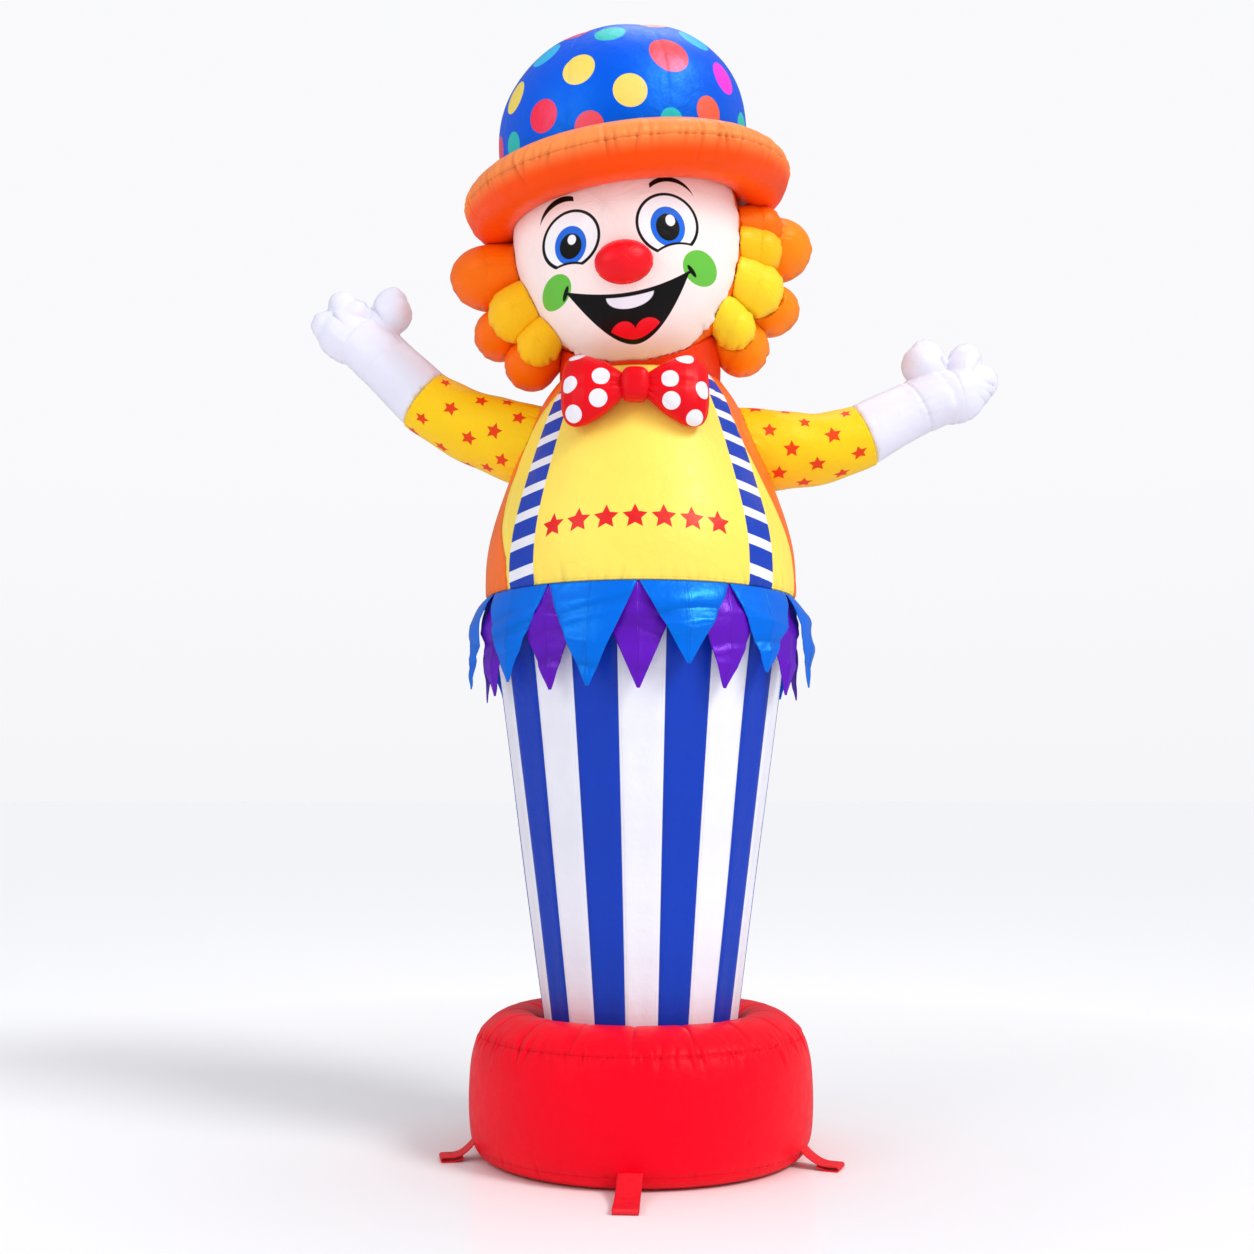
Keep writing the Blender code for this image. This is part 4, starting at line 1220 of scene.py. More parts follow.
nose, points, around, angle = turned("nose_ball", ball_outline(64, math.pi / 2, 3.0), 220)
points = points[:, [0, 2, 1]] * np.array((1.0, 1.0, -1.0)) * NOSE_SEMI_AXES
points = turn_about_y(points, NOSE_ROLL) + NOSE_CENTRE
normals = (points - NOSE_CENTRE) / NOSE_SEMI_AXES**2
normals /= np.linalg.norm(normals, axis=1)[:, None]
along, lap = wrap(around, 0.05)
across = (angle - math.pi / 2) * 0.045
push = puckers(along, across, lap, 40, 0.022, 0.0016, 0.0020, 31) + groove(across, 0.002, 0.0009)
points = press(points + normals * push[:, None], NOSE_CENTRE, in_head)
write_points(nose, points)
lay_uv(nose, along, across, lap)
nose_cloth = cloth("nose taffeta", dye(242, 2, 26), shine=0.8, gleam=dye(255, 150, 150))
finish(nose, nose_cloth, "nose_red", "nose")


# The neck: one short tube of orange-red cloth that leans forward from the shoulders into
# the chin. It is sewn to the torso below and to the head above, and gathered at both.
NECK_ROWS = np.array((
    # forward shift, height, radius
    (0.000, 1.5803, 0.172),
    (0.022, 1.620, 0.170),
    (0.060, 1.665, 0.158),
    (0.105, 1.710, 0.130),
    (0.120, 1.740, 0.090),
))
NECK_RED = dye(250, 62, 18)


def in_neck(points):
    """Which points lie inside the neck."""
    forward = np.interp(points[:, 2], NECK_ROWS[:, 1], NECK_ROWS[:, 0])
    radius = np.interp(points[:, 2], NECK_ROWS[:, 1], NECK_ROWS[:, 2], left=0.0, right=0.0)
    return np.hypot(points[:, 0], points[:, 1] + forward) < radius + 0.0005


def in_torso(points):
    """Which points lie inside the torso."""
    radii, heights = np.array(TORSO_OUTLINE).T
    radius = np.interp(points[:, 2], heights, radii, left=0.0, right=0.0)
    return from_axis(points) < radius + 0.0005


neck_line = smooth_outline(NECK_ROWS[:, [2, 1]], 0.0045)
neck, points, around, run = turned("neck_tube", neck_line, 300)
along, lap = wrap(around, NECK_ROWS[0, 2])
push = puckers(along, run, lap, 60, 0.045, 0.0045, 0.0034, 33)
push += puckers(along, run - 0.10, lap, 46, 0.05, 0.005, 0.003, 34)
outward = np.column_stack([np.sin(around), -np.cos(around), np.zeros(len(around))])
points += outward * (push * (run > 0.0005))[:, None]
points[:, 1] -= np.interp(points[:, 2], NECK_ROWS[:, 1], NECK_ROWS[:, 0])
points = press(points, np.array((0.0, 0.02, 1.585)), in_head)
write_points(neck, points)
lay_uv(neck, along, run, lap)
finish(neck, cloth("neck taffeta", NECK_RED, gleam=dye(255, 160, 120)), "neck_red", "neck")


# The bow tie: two red lobes with white dots, each drawn together at the knot, so that folds
# fan out from it, and pinched flat along its middle. The small knot ball covers their ends,
# and the whole is sewn to the chest.
KNOT_CENTRE = np.array((-0.012, -0.268, 1.513))
KNOT_SEMI_AXES = np.array((0.0285, 0.028, 0.034))
BOW_TURN = math.radians(17)
BOW_LEAN = math.radians(-12)
BOW_LOBE = np.array((
    # distance from the knot, half height, half depth
    (0.000, 0.024, 0.016),
    (0.016, 0.037, 0.024),
    (0.040, 0.055, 0.033),
    (0.070, 0.071, 0.037),
    (0.095, 0.077, 0.034),
    (0.114, 0.070, 0.026),
    (0.125, 0.050, 0.013),
    (0.128, 0.024, 0.005),
))
BOW_START = 0.8 * KNOT_SEMI_AXES[0]
BOW_DOT_RADIUS = 0.018
BOW_DOTS = (
    # x, y and z of the dots that show, on the two lobes
    (-0.127, -0.239, 1.579), (-0.079, -0.284, 1.527), (-0.142, -0.268, 1.513), (-0.084, -0.287, 1.481),
    (-0.133, -0.271, 1.453), (0.086, -0.254, 1.569), (0.056, -0.286, 1.521), (0.121, -0.266, 1.502),
    (0.058, -0.286, 1.476), (0.105, -0.270, 1.444), (-0.106, -0.215, 1.540), (0.120, -0.214, 1.540),
    (-0.110, -0.222, 1.470), (0.090, -0.215, 1.492),
)
BOW_RED, BOW_GLEAM = dye(230, 2, 22), dye(255, 150, 150)
KNOT_SQUARENESS = 0.62                      # of its ball: 1 is round, 0 a box


def dotted(tree, place, ground, dots):
    """Round dots printed on the cloth: each has its centre, radius and colour."""
    colour = ground
    for centre, radius, dot_colour in dots:
        distance = vector_maths(tree, "DISTANCE", place, centre)
        mask = between(tree, distance, radius - PRINT_EDGE, radius + PRINT_EDGE, 1.0, 0.0)
        colour = over(tree, colour, mask, dot_colour)
    return colour


def bow_print(tree, place, along, across):
    """White dots on red."""
    return dotted(tree, place, BOW_RED, [(centre, BOW_DOT_RADIUS, WHITE) for centre in BOW_DOTS])


def on_chest(points):
    """Which points lie inside the torso or the neck."""
    return in_torso(points) | in_neck(points)


bow_cloth = cloth("dotted bow taffeta", BOW_RED, bow_print, gleam=BOW_GLEAM)
for side, name in ((-1, "left"), (1, "right")):
    line = smooth_outline(BOW_LOBE[:, [1, 0]], 0.0026)
    rows = np.column_stack([np.ones(len(line)), line[:, 1], line[:, 2]])
    lobe, points, around, run = turned("bow_lobe_" + name, rows, 260)
    distance = points[:, 2]
    rim_share = from_axis(points)
    tall = np.interp(distance, line[:, 1], line[:, 0])
    deep = np.interp(distance, BOW_LOBE[:, 0], BOW_LOBE[:, 2])
    along, lap = wrap(around, 0.055)
    folds = puckers(along, distance, lap, 26, 0.070, 0.0040, 0.0062, 41 + side)
    folds += puckers(along, distance - 0.122, lap, 30, 0.020, 0.0034, 0.0030, 47 + side)
    out = 1.0 + folds / np.maximum(tall, 0.02)
    upright = np.sin(around) * tall * out * rim_share
    forward = np.cos(around) * deep * out * rim_share
    pinch = 0.010 * np.exp(-((upright / 0.010) ** 2)) * np.clip(1.0 - distance / 0.105, 0.0, 1.0)
    forward -= np.sign(np.cos(around)) * np.minimum(pinch, np.abs(forward) * 0.7)
    local = np.column_stack([side * distance, -forward, upright])
    turn = np.array((Matrix.Rotation(BOW_LEAN, 3, "X") @ Matrix.Rotation(side * BOW_TURN, 3, "Z")))
    start = KNOT_CENTRE + np.array((side * BOW_START, 0.0, 0.0))
    points = local @ turn.T + start
    middle = np.array((side * 0.070, -0.012, 0.0)) @ turn.T + start
    points = press(points, middle, on_chest)
    write_points(lobe, points)
    lay_uv(lobe, along, distance + 0.02, lap)
    finish(lobe, bow_cloth, "bow_red", "bow_" + name)

knot, points, around, angle = turned("bow_knot_ball", ball_outline(60), 160)
points = points[:, [2, 0, 1]]
points = np.sign(points) * np.abs(points) ** KNOT_SQUARENESS * KNOT_SEMI_AXES
along, lap = wrap(around, 0.03)
folds = puckers(along, (angle - math.pi / 2) * 0.03, lap, 13, 0.045, 0.0026, 0.0013, 44)
points = points * (1.0 + folds / 0.03)[:, None] + KNOT_CENTRE
points = press(points, KNOT_CENTRE, on_chest)
write_points(knot, points)
lay_uv(knot, along, angle * 0.03 + 0.02, lap)
finish(knot, cloth("knot taffeta", BOW_RED, gleam=BOW_GLEAM), "bow_red", "bow_knot")


# The hat's brim: one fat orange cushion ring of an upper and a lower panel, gathered into
# the seam round its rim, so that deep folds cross it. It is dished below for the head.
BRIM_TOP = 0.043
BRIM_OUTLINE = (
    # radius, height above the brim's middle
    (0.214, BRIM_UNDERSIDE),
    (0.233, -0.046),
    (0.256, -0.056),
    (0.282, -0.058),
    (0.308, -0.050),
    (0.328, -0.031),
    (0.3395, 0.000),
    (0.331, 0.024),
    (0.312, 0.040),
    (0.289, 0.046),
    (0.268, BRIM_TOP),
)
BRIM_SEAM = (0.3392, -0.003)
BRIM_ORANGE = dye(255, 74, 4)
# A lighter orange painted on the brim's upper side as a sheen, where the light falls on its top.
BRIM_PAINTED_SHEEN_ORANGE = dye(255, 144, 76)
TO_HAT = HAT_PLACE.inverted()


def moved(points, matrix):
    """Rows of points taken through a placing matrix."""
    whole = np.array(matrix)
    return points @ whole[:3, :3].T + whole[:3, 3]


def in_brim(points):
    """Which points lie inside the hat's brim."""
    local = moved(points, TO_HAT)
    radius = from_axis(local)
    lower = np.array([row for row in BRIM_OUTLINE if row[1] <= 0.0])
    upper = np.array([row for row in BRIM_OUTLINE[::-1] if row[1] >= 0.0])
    low = np.interp(radius, lower[:, 0], lower[:, 1])
    high = np.interp(radius, upper[:, 0], upper[:, 1])
    return (radius < 0.340) & (local[:, 2] > low - 0.0005) & (local[:, 2] < high + 0.0005)


def brim_painted_sheen(tree, place, along, across):
    """Orange with a painted sheen: lighter above the seam, deepening to the plain orange below it."""
    return over(tree, BRIM_ORANGE, between(tree, across, -0.034, 0.012), BRIM_PAINTED_SHEEN_ORANGE)


brim_line = smooth_outline(BRIM_OUTLINE, 0.0085, (BRIM_SEAM,), 0.0019, 0.028)
brim, points, around, run = turned("hat_brim_ring", brim_line, 980)
normals = write_points(brim, points)
across = run - run_at(brim_line, BRIM_SEAM)
along, lap = wrap(around, BRIM_SEAM[0])
push = puckers(along, across, lap, 108, 0.066, 0.0026, 0.0078, 51)
push += puckers(along, across, lap, 150, 0.026, 0.0022, 0.0030, 54)
push += groove(across, 0.0035, 0.0020)
push += np.exp(-((across / 0.035) ** 2)) * swell(along, lap, (19, 27, 38, 51), 0.0024, 52)
push += puckers(along, run, lap, 70, 0.04, 0.004, 0.0016, 53)
push *= (run > 0.0005) & (run < brim_line[-1, 2] - 0.0005)
points = moved(points + normals * push[:, None], HAT_PLACE)
for _ in range(70):
    local = moved(points, TO_HAT)
    held = in_head(points) & (local[:, 2] < BRIM_UNDERSIDE)
    points[held] += hat_up * 0.0005
write_points(brim, points)
mark_fold_shade(brim, push, 0.0055)
lay_uv(brim, along, across, lap)
brim_cloth = cloth("orange taffeta", BRIM_ORANGE, brim_painted_sheen, seam=0.28, gleam=dye(255, 176, 126))
finish(brim, brim_cloth, "brim_orange", "hat_brim")


# The hat's crown: one blue dome with printed dots, sewn of eight gores and gathered a
# little where it meets the brim.
CROWN_MIDDLE = 0.110
CROWN_RADIUS = 0.2585
CROWN_RISE = 0.217
CROWN_ROUNDNESS = 0.86
CROWN_LEAN = 0.06
CROWN_GORES = 8
CROWN_GORE_TURN = math.radians(20)
CROWN_BLUE = dye(0, 84, 230)
DOT_COLOURS = {
    "yellow": dye(255, 224, 84), "teal": dye(46, 196, 184), "coral": dye(250, 62, 40),
    "magenta": dye(246, 40, 214), "crimson": dye(255, 0, 22), "orange": dye(248, 98, 30),
    "cyan": dye(50, 186, 238), "pink": dye(246, 66, 92), "peach": dye(244, 168, 108),
}
CROWN_DOTS = (
    # colour, radius, then x, y and z from the brim's middle
    ("teal", 0.031, -0.004, -0.205, 0.258),
    ("yellow", 0.034, -0.075, -0.234, 0.182),
    ("yellow", 0.0335, 0.018, -0.256, 0.118),
    ("coral", 0.041, 0.103, -0.222, 0.192),
    ("magenta", 0.034, 0.213, -0.148, 0.165),
    ("crimson", 0.033, -0.154, -0.203, 0.110),
    ("yellow", 0.034, -0.205, -0.128, 0.185),
    ("teal", 0.027, -0.219, -0.128, 0.087),
    ("coral", 0.030, -0.069, -0.246, 0.062),
    ("teal", 0.024, 0.093, -0.240, 0.058),
    ("orange", 0.031, 0.169, -0.195, 0.082),
    ("teal", 0.031, 0.255, -0.085, 0.085),
    ("cyan", 0.034, -0.132, -0.152, 0.252),
    ("pink", 0.030, -0.062, -0.140, 0.292),
    ("peach", 0.030, 0.082, -0.140, 0.288),
    ("cyan", 0.034, 0.162, -0.150, 0.246),
    ("pink", 0.030, -0.252, -0.050, 0.110),
)
BACK_DOTS = (
    # colour, radius, turn from the front in degrees, height from the brim's middle
    ("yellow", 0.034, 118, 0.105), ("coral", 0.033, 146, 0.150), ("teal", 0.031, 170, 0.095),
    ("crimson", 0.033, -166, 0.175), ("yellow", 0.034, -140, 0.110), ("magenta", 0.031, -116, 0.170),
    ("orange", 0.033, -96, 0.225), ("cyan", 0.034, 112, 0.205), ("peach", 0.031, 150, 0.235),
    ("teal", 0.030, -150, 0.250), ("crimson", 0.031, 92, 0.150), ("coral", 0.034, 178, 0.292),
    ("yellow", 0.033, 95, 0.270), ("magenta", 0.030, -105, 0.285), ("cyan", 0.032, 20, 0.318),
)
crown_foot = BRIM_TOP + 0.0003


def crown_outline(rows):
    """Radius, height and run of the dome's curve from its foot to its top."""
    start = -math.asin(((CROWN_MIDDLE - crown_foot) / CROWN_RISE) ** (1.0 / CROWN_ROUNDNESS))
    angle = np.linspace(start, math.pi / 2, rows)
    rise = np.sign(angle) * np.abs(np.sin(angle)) ** CROWN_ROUNDNESS
    radius = CROWN_RADIUS * np.maximum(np.cos(angle), 0.0) ** CROWN_ROUNDNESS
    curve = np.column_stack([radius, CROWN_MIDDLE + CROWN_RISE * rise])
    return np.column_stack([curve, length_along(curve)])


def crown_print(tree, place, along, across):
    """Dots of many colours on blue."""
    fine = crown_outline(400)
    dots = []
    for colour, radius, x, y, z in CROWN_DOTS:
        dots.append((HAT_PLACE @ Vector((x, y, z)), radius, DOT_COLOURS[colour]))
    for colour, radius, degrees, height in BACK_DOTS:
        near = (fine[:, 1] >= CROWN_MIDDLE) == (height > CROWN_MIDDLE)
        reach = np.interp(height, fine[near, 1], fine[near, 0])
        turn = math.radians(degrees)
        lean = CROWN_LEAN * (height - crown_foot)
        centre = Vector((reach * math.sin(turn) + lean, -reach * math.cos(turn), height))
        dots.append((HAT_PLACE @ centre, radius, DOT_COLOURS[colour]))
    return dotted(tree, place, CROWN_BLUE, dots)


def evenly(curve, spacing, seams=(), fine=0.003, reach=0.02):
    """Rows of a curve resampled at even spacing, closer near runs where seams cross it."""
    run = np.linspace(0.0, curve[-1, 2], 1200)
    density = np.full(len(run), 1 / spacing)
    for at in seams:
        density += (1 / fine - 1 / spacing) * np.exp(-(((run - at) / reach) ** 2))
    count = running(np.diff(run) * (density[1:] + density[:-1]) / 2)
    runs = np.interp(np.linspace(0.0, count[-1], math.ceil(count[-1]) + 1), count, run)
    columns = [np.interp(runs, curve[:, 2], curve[:, column]) for column in range(3)]
    return np.column_stack(columns)


crown_line = evenly(crown_outline(900), 0.0072, (0.0,), 0.003, 0.02)
crown_line[-1, 0] = 0.0008
crown, points, around, run = turned("hat_crown_dome", crown_line, 420)
points[:, 0] += CROWN_LEAN * (points[:, 2] - crown_foot)
normals = write_points(crown, points)
along, lap = wrap(around, 0.25)
gore = (around - CROWN_GORE_TURN) / math.tau * CROWN_GORES
from_gore = (gore - np.round(gore)) * math.tau / CROWN_GORES * from_axis(points)
top = np.clip((crown_line[-1, 2] - run) / 0.08, 0.0, 1.0)
push = top * (groove(from_gore, 0.005, 0.0011) + 0.0010 * np.cos((gore + 0.5) * math.tau))
push += puckers(along, run - 0.004, lap, 66, 0.04, 0.0042, 0.0026, 61)
push += swell(around, math.tau, (3, 5), 0.0012, 62) * np.sin(run * 16)
push *= run > 0.0005
points = moved(points + normals * push[:, None], HAT_PLACE)
write_points(crown, points)
lay_uv(crown, along, run, lap)
crown_cloth = cloth("dotted crown taffeta", CROWN_BLUE, crown_print, shine=1.0, gleam=dye(50, 180, 250),
                    index=1.62)
finish(crown, crown_cloth, "crown_dots", "hat_crown")


# The hair: twelve curls, each one air-filled lobe of a front and a back panel, gathered into
# the seam between them. The curls are pressed against the head, the brim and each other.
# Painted light: the second colour is the same orange cloth painted lighter for the curls on the lit right
# side, and they keep the orange's slot.
HAIR_COLOURS = {
    "orange": dye(255, 110, 4), "tangerine": dye(255, 138, 12),
    "amber": dye(255, 194, 24), "yellow": dye(255, 218, 46),
}
HAIR_GLEAM = dye(255, 210, 130)
HAIR_REACH = 0.24
HAIR_FULLNESS = 1.05                        # of the sizes below, as the cloth is blown tight
HAIR_STRETCH = 0.55                         # of its inner side, towards the seam that holds it
HAIR_FORWARD = {"left": 0.012, "right": 0.055}      # of its inner end, onto that seam
HAIR = (
    # side and number, colour, slot, centre's x, y and z, half width, half depth, half height
    ("left_1", "orange", "hair_orange", -0.316, -0.045, 1.806, 0.083, 0.082, 0.065),
    ("left_2", "orange", "hair_orange", -0.301, -0.020, 1.689, 0.050, 0.078, 0.050),
    ("left_3", "orange", "hair_orange", -0.232, -0.025, 1.624, 0.054, 0.075, 0.052),
    ("left_4", "amber", "hair_amber", -0.258, -0.105, 1.708, 0.056, 0.058, 0.056),
    ("left_5", "amber", "hair_amber", -0.211, -0.115, 1.641, 0.043, 0.046, 0.043),
    ("right_1", "tangerine", "hair_orange", 0.290, -0.030, 1.873, 0.073, 0.082, 0.063),
    ("right_2", "orange", "hair_orange", 0.251, -0.100, 1.893, 0.046, 0.050, 0.046),
    ("right_3", "amber", "hair_amber", 0.247, -0.115, 1.839, 0.046, 0.050, 0.046),
    ("right_4", "yellow", "hair_yellow", 0.241, -0.105, 1.761, 0.055, 0.058, 0.055),
    ("right_5", "tangerine", "hair_orange", 0.275, -0.020, 1.744, 0.062, 0.078, 0.051),
    ("right_6", "yellow", "hair_yellow", 0.193, -0.120, 1.674, 0.043, 0.046, 0.043),
    ("right_7", "tangerine", "hair_orange", 0.216, -0.030, 1.657, 0.055, 0.075, 0.055),
)


def inner_share(points, centre, semi_axes, reach):
    """How far towards the head's middle the points lie from a lobe's centre, and that way."""
    inward = (HEAD_CENTRE - centre) * np.array((1.0, 0.0, 1.0))
    inward /= np.linalg.norm(inward)
    size = (semi_axes[0] + semi_axes[2]) / 2
    return np.maximum(points @ inward, 0.0)[:, None] / (size * reach), inward * size


def in_curl(points, centre, semi_axes, forward):
    """Which points lie inside a lobe with its inner side drawn out."""
    local = points - centre
    share, inward = inner_share(local, centre, semi_axes, 1.0 + HAIR_STRETCH)
    local = local - share * inward * HAIR_STRETCH + share * np.array((0.0, forward, 0.0))
    return in_ball(local, np.zeros(3), semi_axes, 0.0, 0.0005)


def curl(name, centre, semi_axes, forward, neighbours, seed):
    """One lobe, its folds laid across the seam, pressed by what it touches."""
    piece, points, around, angle = turned(name, ball_outline(50, math.pi / 2, 2.6, 0.25), 140)
    size = float(semi_axes[0] + semi_axes[2]) / 2
    points = points[:, [0, 2, 1]] * np.array((1.0, 1.0, -1.0)) * semi_axes
    normals = points / semi_axes**2
    normals /= np.linalg.norm(normals, axis=1)[:, None]
    along, lap = wrap(around, size)
    across = (angle - math.pi / 2) * (size + semi_axes[1]) / 2
    push = puckers(along, across, lap, 40, 0.030, 0.0022, 0.0034, seed)
    push += groove(across, 0.003, 0.0008)
    push += swell(along, lap, (7, 11, 17), 0.0022, seed) * np.exp(-((across / 0.02) ** 2))
    points = points + normals * push[:, None]
    share, inward = inner_share(points, centre, semi_axes, 1.0)
    points = points + share * inward * HAIR_STRETCH - share * np.array((0.0, forward, 0.0)) + centre
    for inside in neighbours:
        points = press(points, centre, inside)
    write_points(piece, points)
    mark_fold_shade(piece, push, 0.005)
    lay_uv(piece, along, across, lap)
    return piece


hair_cloths = {}
for tint, colour in HAIR_COLOURS.items():
    hair_cloths[tint] = cloth(tint + " hair taffeta", colour, seam=0.25, gleam=HAIR_GLEAM)
curls = []
for index, (label, tint, slot, x, y, z, *semi_axes) in enumerate(HAIR):
    centre, semi_axes = np.array((x, y, z)), np.array(semi_axes) * HAIR_FULLNESS
    neighbours = [in_head, in_brim, in_neck, in_torso]
    forward = HAIR_FORWARD[label.split("_")[0]]
    for other in curls:
        if np.linalg.norm(centre - other[0]) < HAIR_REACH:
            neighbours.append(lambda points, other=other: in_curl(points, *other))
    piece = curl("curl_" + label, centre, semi_axes, forward, neighbours, 70 + index)
    finish(piece, hair_cloths[tint], slot, "hair_" + label)
    curls.append((centre, semi_axes, forward))


# The arms: two yellow sleeves with orange-red stars, sewn to the shoulders, and two white
# gloves sewn to their cuffs, each with a forearm, a wrist seam and a mitten hand.
CUFF_ROW = 5
LEFT_ARM = (
    # x, z, radius: from inside the shoulder out to the hand
    (-0.190, 1.436, 0.0930),
    (-0.250, 1.458, 0.0886),
    (-0.300, 1.474, 0.0825),
    (-0.353, 1.493, 0.0770),
    (-0.408, 1.520, 0.0725),
    (-0.460, 1.554, 0.0690),
    (-0.511, 1.603, 0.0660),
)
RIGHT_ARM = (
    # x, z, radius
    (0.190, 1.440, 0.0930),
    (0.249, 1.445, 0.0890),
    (0.306, 1.444, 0.0825),
    (0.366, 1.446, 0.0770),
    (0.421, 1.457, 0.0720),
    (0.475, 1.477, 0.0680),
    (0.533, 1.509, 0.0640),
)
LEFT_STARS = (
    # x, y, z and radius
    (-0.409, -0.050, 1.580, 0.0125), (-0.397, -0.073, 1.518, 0.0145), (-0.458, -0.054, 1.499, 0.0125),
    (-0.332, -0.060, 1.536, 0.0145), (-0.304, -0.081, 1.466, 0.0145), (-0.360, -0.068, 1.455, 0.0135),
    (-0.253, -0.079, 1.495, 0.0130), (-0.419, -0.021, 1.447, 0.0135), (-0.289, -0.063, 1.409, 0.0135),
    (-0.323, -0.028, 1.400, 0.0130), (-0.366, -0.002, 1.415, 0.0130), (-0.482, -0.010, 1.486, 0.0130),
    (-0.278, -0.051, 1.534, 0.0130), (-0.300, 0.080, 1.480, 0.0140), (-0.362, 0.075, 1.500, 0.0140),
    (-0.335, 0.060, 1.430, 0.0135), (-0.430, 0.068, 1.530, 0.0135), (-0.395, 0.040, 1.455, 0.0130),
    (-0.262, 0.060, 1.425, 0.0130), (-0.380, 0.045, 1.575, 0.0130), (-0.315, 0.030, 1.555, 0.0130),
    (-0.455, 0.040, 1.490, 0.0130),
)
RIGHT_STARS = (
    # x, y, z and radius
    (0.269, -0.083, 1.468, 0.0130), (0.314, -0.080, 1.429, 0.0150), (0.344, -0.064, 1.490, 0.0130),
    (0.401, -0.073, 1.460, 0.0165), (0.457, -0.056, 1.426, 0.0145), (0.370, -0.062, 1.401, 0.0140),
    (0.289, -0.058, 1.383, 0.0140), (0.431, -0.050, 1.513, 0.0130), (0.425, -0.027, 1.390, 0.0140),
    (0.343, -0.026, 1.371, 0.0135), (0.242, -0.040, 1.520, 0.0130), (0.306, -0.034, 1.517, 0.0130),
    (0.371, -0.018, 1.519, 0.0130), (0.300, 0.078, 1.440, 0.0140), (0.360, 0.072, 1.470, 0.0145),
    (0.345, 0.055, 1.400, 0.0135), (0.420, 0.065, 1.440, 0.0140), (0.400, 0.040, 1.505, 0.0130),
    (0.262, 0.060, 1.500, 0.0130), (0.450, 0.040, 1.500, 0.0130), (0.400, 0.035, 1.395, 0.0130),
)
SLEEVE_YELLOW = dye(255, 207, 20)
STAR_ORANGE = dye(236, 54, 12)
STAR_GROWTH = 1.24                          # of the sizes above
SLEEVE_LAP_RADIUS = 0.080
GLOVE_WHITE = dye(231, 231, 246)
GLOVE_CELL = 0.004
GLOVE_SHRINKAGE = 0.0026                    # what smoothing takes off the fingers
PALM_AWAY = 0.085                           # the palm's middle, from the wrist


def arm_curve(rows):
    """The arm's middle as distance from the axis, height and run, and its radius by run."""
    line = smooth_outline([(abs(x), z) for x, z, _ in rows], 0.004)
    runs = [run_at(line, (abs(x), z)) for x, z, _ in rows]
    return line, np.polyfit(runs, [radius for _, _, radius in rows], 3)


def on_arm(line, fit, side, run, around, push=0.0):
    """The point on the arm's skin at a run and a turn from the front, pushed out of it."""
    x, z = np.interp(run, line[:, 2], line[:, 0]), np.interp(run, line[:, 2], line[:, 1])
    ahead = np.minimum(run + 0.004, line[-1, 2])
    behind = np.maximum(run - 0.004, 0.0)
    dx = np.interp(ahead, line[:, 2], line[:, 0]) - np.interp(behind, line[:, 2], line[:, 0])
    dz = np.interp(ahead, line[:, 2], line[:, 1]) - np.interp(behind, line[:, 2], line[:, 1])
    size = np.hypot(dx, dz)
    radius = np.polyval(fit, run) + push
    up = radius * np.sin(around)
    return np.column_stack([side * (x - dz / size * up), -radius * np.cos(around), z + dx / size * up])


def sleeve(name, rows, side, stars, slot, node, seed):
    """A sleeve on its arm's curve, from the shoulder seam on the torso to the cuff."""
    line, fit = arm_curve(rows)
    cuff = run_at(line, (abs(rows[CUFF_ROW][0]), rows[CUFF_ROW][1]))
    straight = np.column_stack([np.ones(84), np.linspace(0.0, cuff, 84), np.linspace(0.0, cuff, 84)])
    piece, points, around, run = turned(name, straight, 300)
    middle = from_axis(points) < 0.5
    shoulder = np.zeros(len(run))
    for trial in np.linspace(0.0, cuff * 0.6, 90):
        held = in_torso(on_arm(line, fit, side, np.full(len(run), trial), around))
        shoulder = np.where(held, trial, shoulder)
    new_run = shoulder + (cuff - shoulder) * run / cuff
    from_shoulder = new_run - shoulder
    from_cuff = new_run - cuff
    along, lap = wrap(around, SLEEVE_LAP_RADIUS)
    push = puckers(along, from_shoulder, lap, 44, 0.045, 0.0036, 0.0034, seed)
    push += puckers(along, from_cuff, lap, 40, 0.030, 0.0032, 0.0026, seed + 1)
    push += 0.0012 * np.sin(new_run * 60 + around * 2) * np.sin(around * 3)
    points = on_arm(line, fit, side, new_run, around, push)
    for end in (run < 0.0001, run > cuff - 0.0001):
        points[middle & end] = points[~middle & end].mean(0)
    write_points(piece, points)
    lay_uv(piece, along, new_run, lap)
    places = []
    for x, y, z, size in stars:
        nearest = np.argmin(np.linalg.norm(points - np.array((x, y, z)), axis=1))
        places.append((new_run[nearest], along[nearest], size * STAR_GROWTH))

    def print_stars(tree, place, u, v):
        mask = 0.0
        for at_run, at_along, size in places:
            right = maths(tree, "MULTIPLY", maths(tree, "SUBTRACT", v, at_run), side / size)
            up = maths(tree, "MULTIPLY", maths(tree, "SUBTRACT", u, at_along), 1 / size)
            star = place_group(tree, STAR, X=right, Y=up, Edge=0.02)
            mask = maths(tree, "MAXIMUM", mask, star.outputs[0])
        return over(tree, SLEEVE_YELLOW, mask, STAR_ORANGE)

    material = cloth(name + " taffeta", SLEEVE_YELLOW, print_stars, gleam=dye(255, 238, 160))
    finish(piece, material, slot, node)


def nearest_on_line(points, a, b):
    """Each point's distance in the X-Z plane from a line between two places."""
    start, run = np.array(a), np.array(b) - np.array(a)
    flat = points[:, [0, 2]] - start
    share = np.clip(flat @ run / (run @ run), 0.0, 1.0)
    return np.linalg.norm(flat - share[:, None] * run, axis=1), share


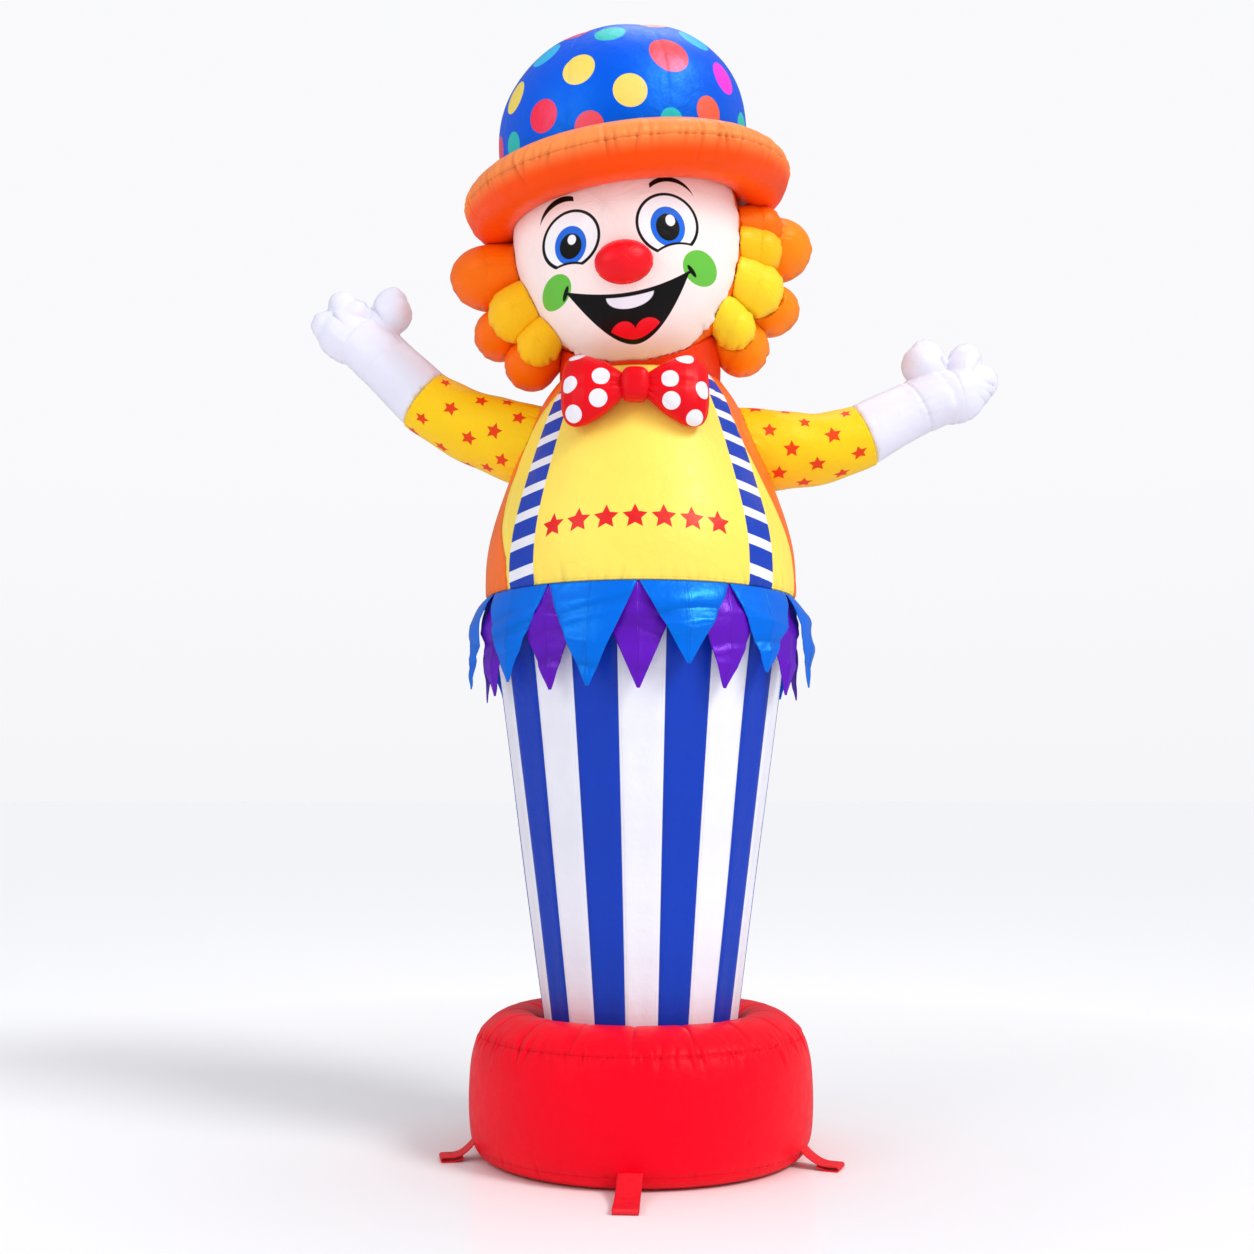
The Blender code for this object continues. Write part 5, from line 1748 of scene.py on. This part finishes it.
def blow_up(piece, pressure=4.0, cap=0.005):
    """Blender's cloth under inner air pressure, each point held to within the cap."""
    before = read_points(piece)
    air = piece.modifiers.new("air", "CLOTH")
    air.settings.use_pressure = True
    air.settings.uniform_pressure_force = pressure
    air.settings.effector_weights.gravity = 0.0
    air.settings.tension_stiffness = 40.0
    air.settings.compression_stiffness = 40.0
    air.settings.bending_stiffness = 0.4
    air.point_cache.frame_start = 1
    air.point_cache.frame_end = 20
    for step in range(1, 21):
        bpy.context.scene.frame_set(step)
    graph = bpy.context.evaluated_depsgraph_get()
    after = read_points(piece.evaluated_get(graph))
    piece.modifiers.remove(air)
    bpy.context.scene.frame_set(1)
    shift = after - before
    size = np.maximum(np.linalg.norm(shift, axis=1), 1e-9)
    write_points(piece, before + shift * np.minimum(1.0, cap / size)[:, None])


def glove(name, node, side, wrist, wrist_slope, gather, lobes, creases, seed):
    """A glove swollen from its solid, with its seams and creases laid in afterwards."""
    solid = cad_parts[node]
    piece = bpy.data.objects.new(name, solid.data.copy())
    bpy.context.scene.collection.objects.link(piece)
    for x, z, radius in lobes:
        bpy.ops.object.select_all(action="DESELECT")
        bpy.ops.mesh.primitive_uv_sphere_add(segments=40, ring_count=20, radius=radius)
        lobe = bpy.context.object
        write_points(lobe, read_points(lobe) * np.array((1.0, 1.1, 1.0)) + np.array((x, 0.0, z)))
        piece.select_set(True)
        bpy.context.view_layer.objects.active = piece
        bpy.ops.object.join()
    select_only(piece)
    bpy.ops.object.mode_set(mode="EDIT")
    bpy.ops.mesh.select_all(action="SELECT")
    bpy.ops.mesh.remove_doubles(threshold=0.00002)
    bpy.ops.object.mode_set(mode="OBJECT")
    cells = piece.modifiers.new("cells", "REMESH")
    cells.mode = "VOXEL"
    cells.voxel_size = GLOVE_CELL
    bpy.ops.object.modifier_apply(modifier=cells.name)
    soft = piece.modifiers.new("soft", "SMOOTH")
    soft.iterations = 11
    soft.factor = 0.5
    bpy.ops.object.modifier_apply(modifier=soft.name)
    slope = np.array((math.cos(wrist_slope), 0.0, math.sin(wrist_slope)))
    centre = np.array((wrist[0], 0.0, wrist[1]))
    points = read_points(piece)
    normals = write_points(piece, points)
    swollen = np.clip((points - centre) @ slope * side / 0.04 + 0.5, 0.0, 1.0)
    write_points(piece, points + normals * (GLOVE_SHRINKAGE * swollen)[:, None])
    blow_up(piece)
    halves = piece.modifiers.new("finer", "SUBSURF")
    halves.levels = halves.render_levels = 1
    bpy.ops.object.modifier_apply(modifier=halves.name)
    points = read_points(piece)
    normals = write_points(piece, points)
    outward = (points - centre) @ slope * side
    turn = np.arctan2((points - centre) @ np.array((-slope[2], 0.0, slope[0])), -points[:, 1])
    forearm = np.exp(-((np.linalg.norm(points - centre, axis=1) / 0.14) ** 4))
    along, lap = wrap(turn, 0.06)
    push = puckers(along, outward, lap, 26, 0.030, 0.0028, 0.0050, seed)
    push = gather * forearm * (push + groove(outward, 0.0040, 0.0036))
    hand = np.clip((outward - 0.01) / 0.03, 0.0, 1.0)
    flat = points - (centre + slope * side * PALM_AWAY)
    along, lap = wrap(np.arctan2(flat[:, 2], flat[:, 0] * side), 0.09)
    push += hand * puckers(along, points[:, 1], lap, 48, 0.030, 0.0026, 0.0046, seed + 1)
    push += hand * groove(points[:, 1], 0.003, 0.0012)
    for a, b, depth, width in creases:
        away, share = nearest_on_line(points, a, b)
        push -= depth * np.exp(-away / width) * (1.0 - 0.8 * share)
    write_points(piece, points + normals * push[:, None])
    mark_fold_shade(piece, push, 0.016)
    finish(piece, cloth(name + " taffeta", GLOVE_WHITE, uv=False), "glove_white", node)


sleeve("star_sleeve_left", LEFT_ARM, -1, LEFT_STARS, "sleeve_stars", "sleeve_left", 81)
sleeve("star_sleeve_right", RIGHT_ARM, 1, RIGHT_STARS, "sleeve_stars", "sleeve_right", 83)
LEFT_LOBES = (
    # x, z and radius: two fingers and the thumb, blown rounder than their solid
    (-0.652, 1.687, 0.0367),
    (-0.612, 1.734, 0.0378),
    (-0.530, 1.743, 0.0388),
)
LEFT_CREASES = (
    # x and z of its start and of its end, depth, width
    ((-0.656, 1.733), (-0.622, 1.700), 0.008, 0.0045),
    ((-0.574, 1.753), (-0.540, 1.708), 0.009, 0.0045),
    ((-0.510, 1.678), (-0.538, 1.704), 0.003, 0.003),
    ((-0.494, 1.731), (-0.504, 1.720), 0.003, 0.0025),
)
RIGHT_LOBES = (
    # x, z and radius
    (0.602, 1.631, 0.0410),
    (0.687, 1.620, 0.0365),
    (0.711, 1.572, 0.0385),
)
RIGHT_CREASES = (
    # x and z of its start and of its end, depth, width
    ((0.644, 1.636), (0.668, 1.592), 0.009, 0.0045),
    ((0.668, 1.592), (0.690, 1.522), 0.0025, 0.0030),
    ((0.724, 1.634), (0.708, 1.608), 0.005, 0.0040),
    ((0.751, 1.578), (0.724, 1.584), 0.004, 0.0030),
    ((0.748, 1.561), (0.722, 1.568), 0.004, 0.0030),
    ((0.740, 1.541), (0.720, 1.550), 0.003, 0.0030),
)
glove("white_glove_left", "glove_left", -1, (-0.550, 1.630), math.radians(-48.8), 0.2,
      LEFT_LOBES, LEFT_CREASES, 91)
glove("white_glove_right", "glove_right", 1, (0.593, 1.533), math.radians(29.7), 0.6,
      RIGHT_LOBES, RIGHT_CREASES, 93)
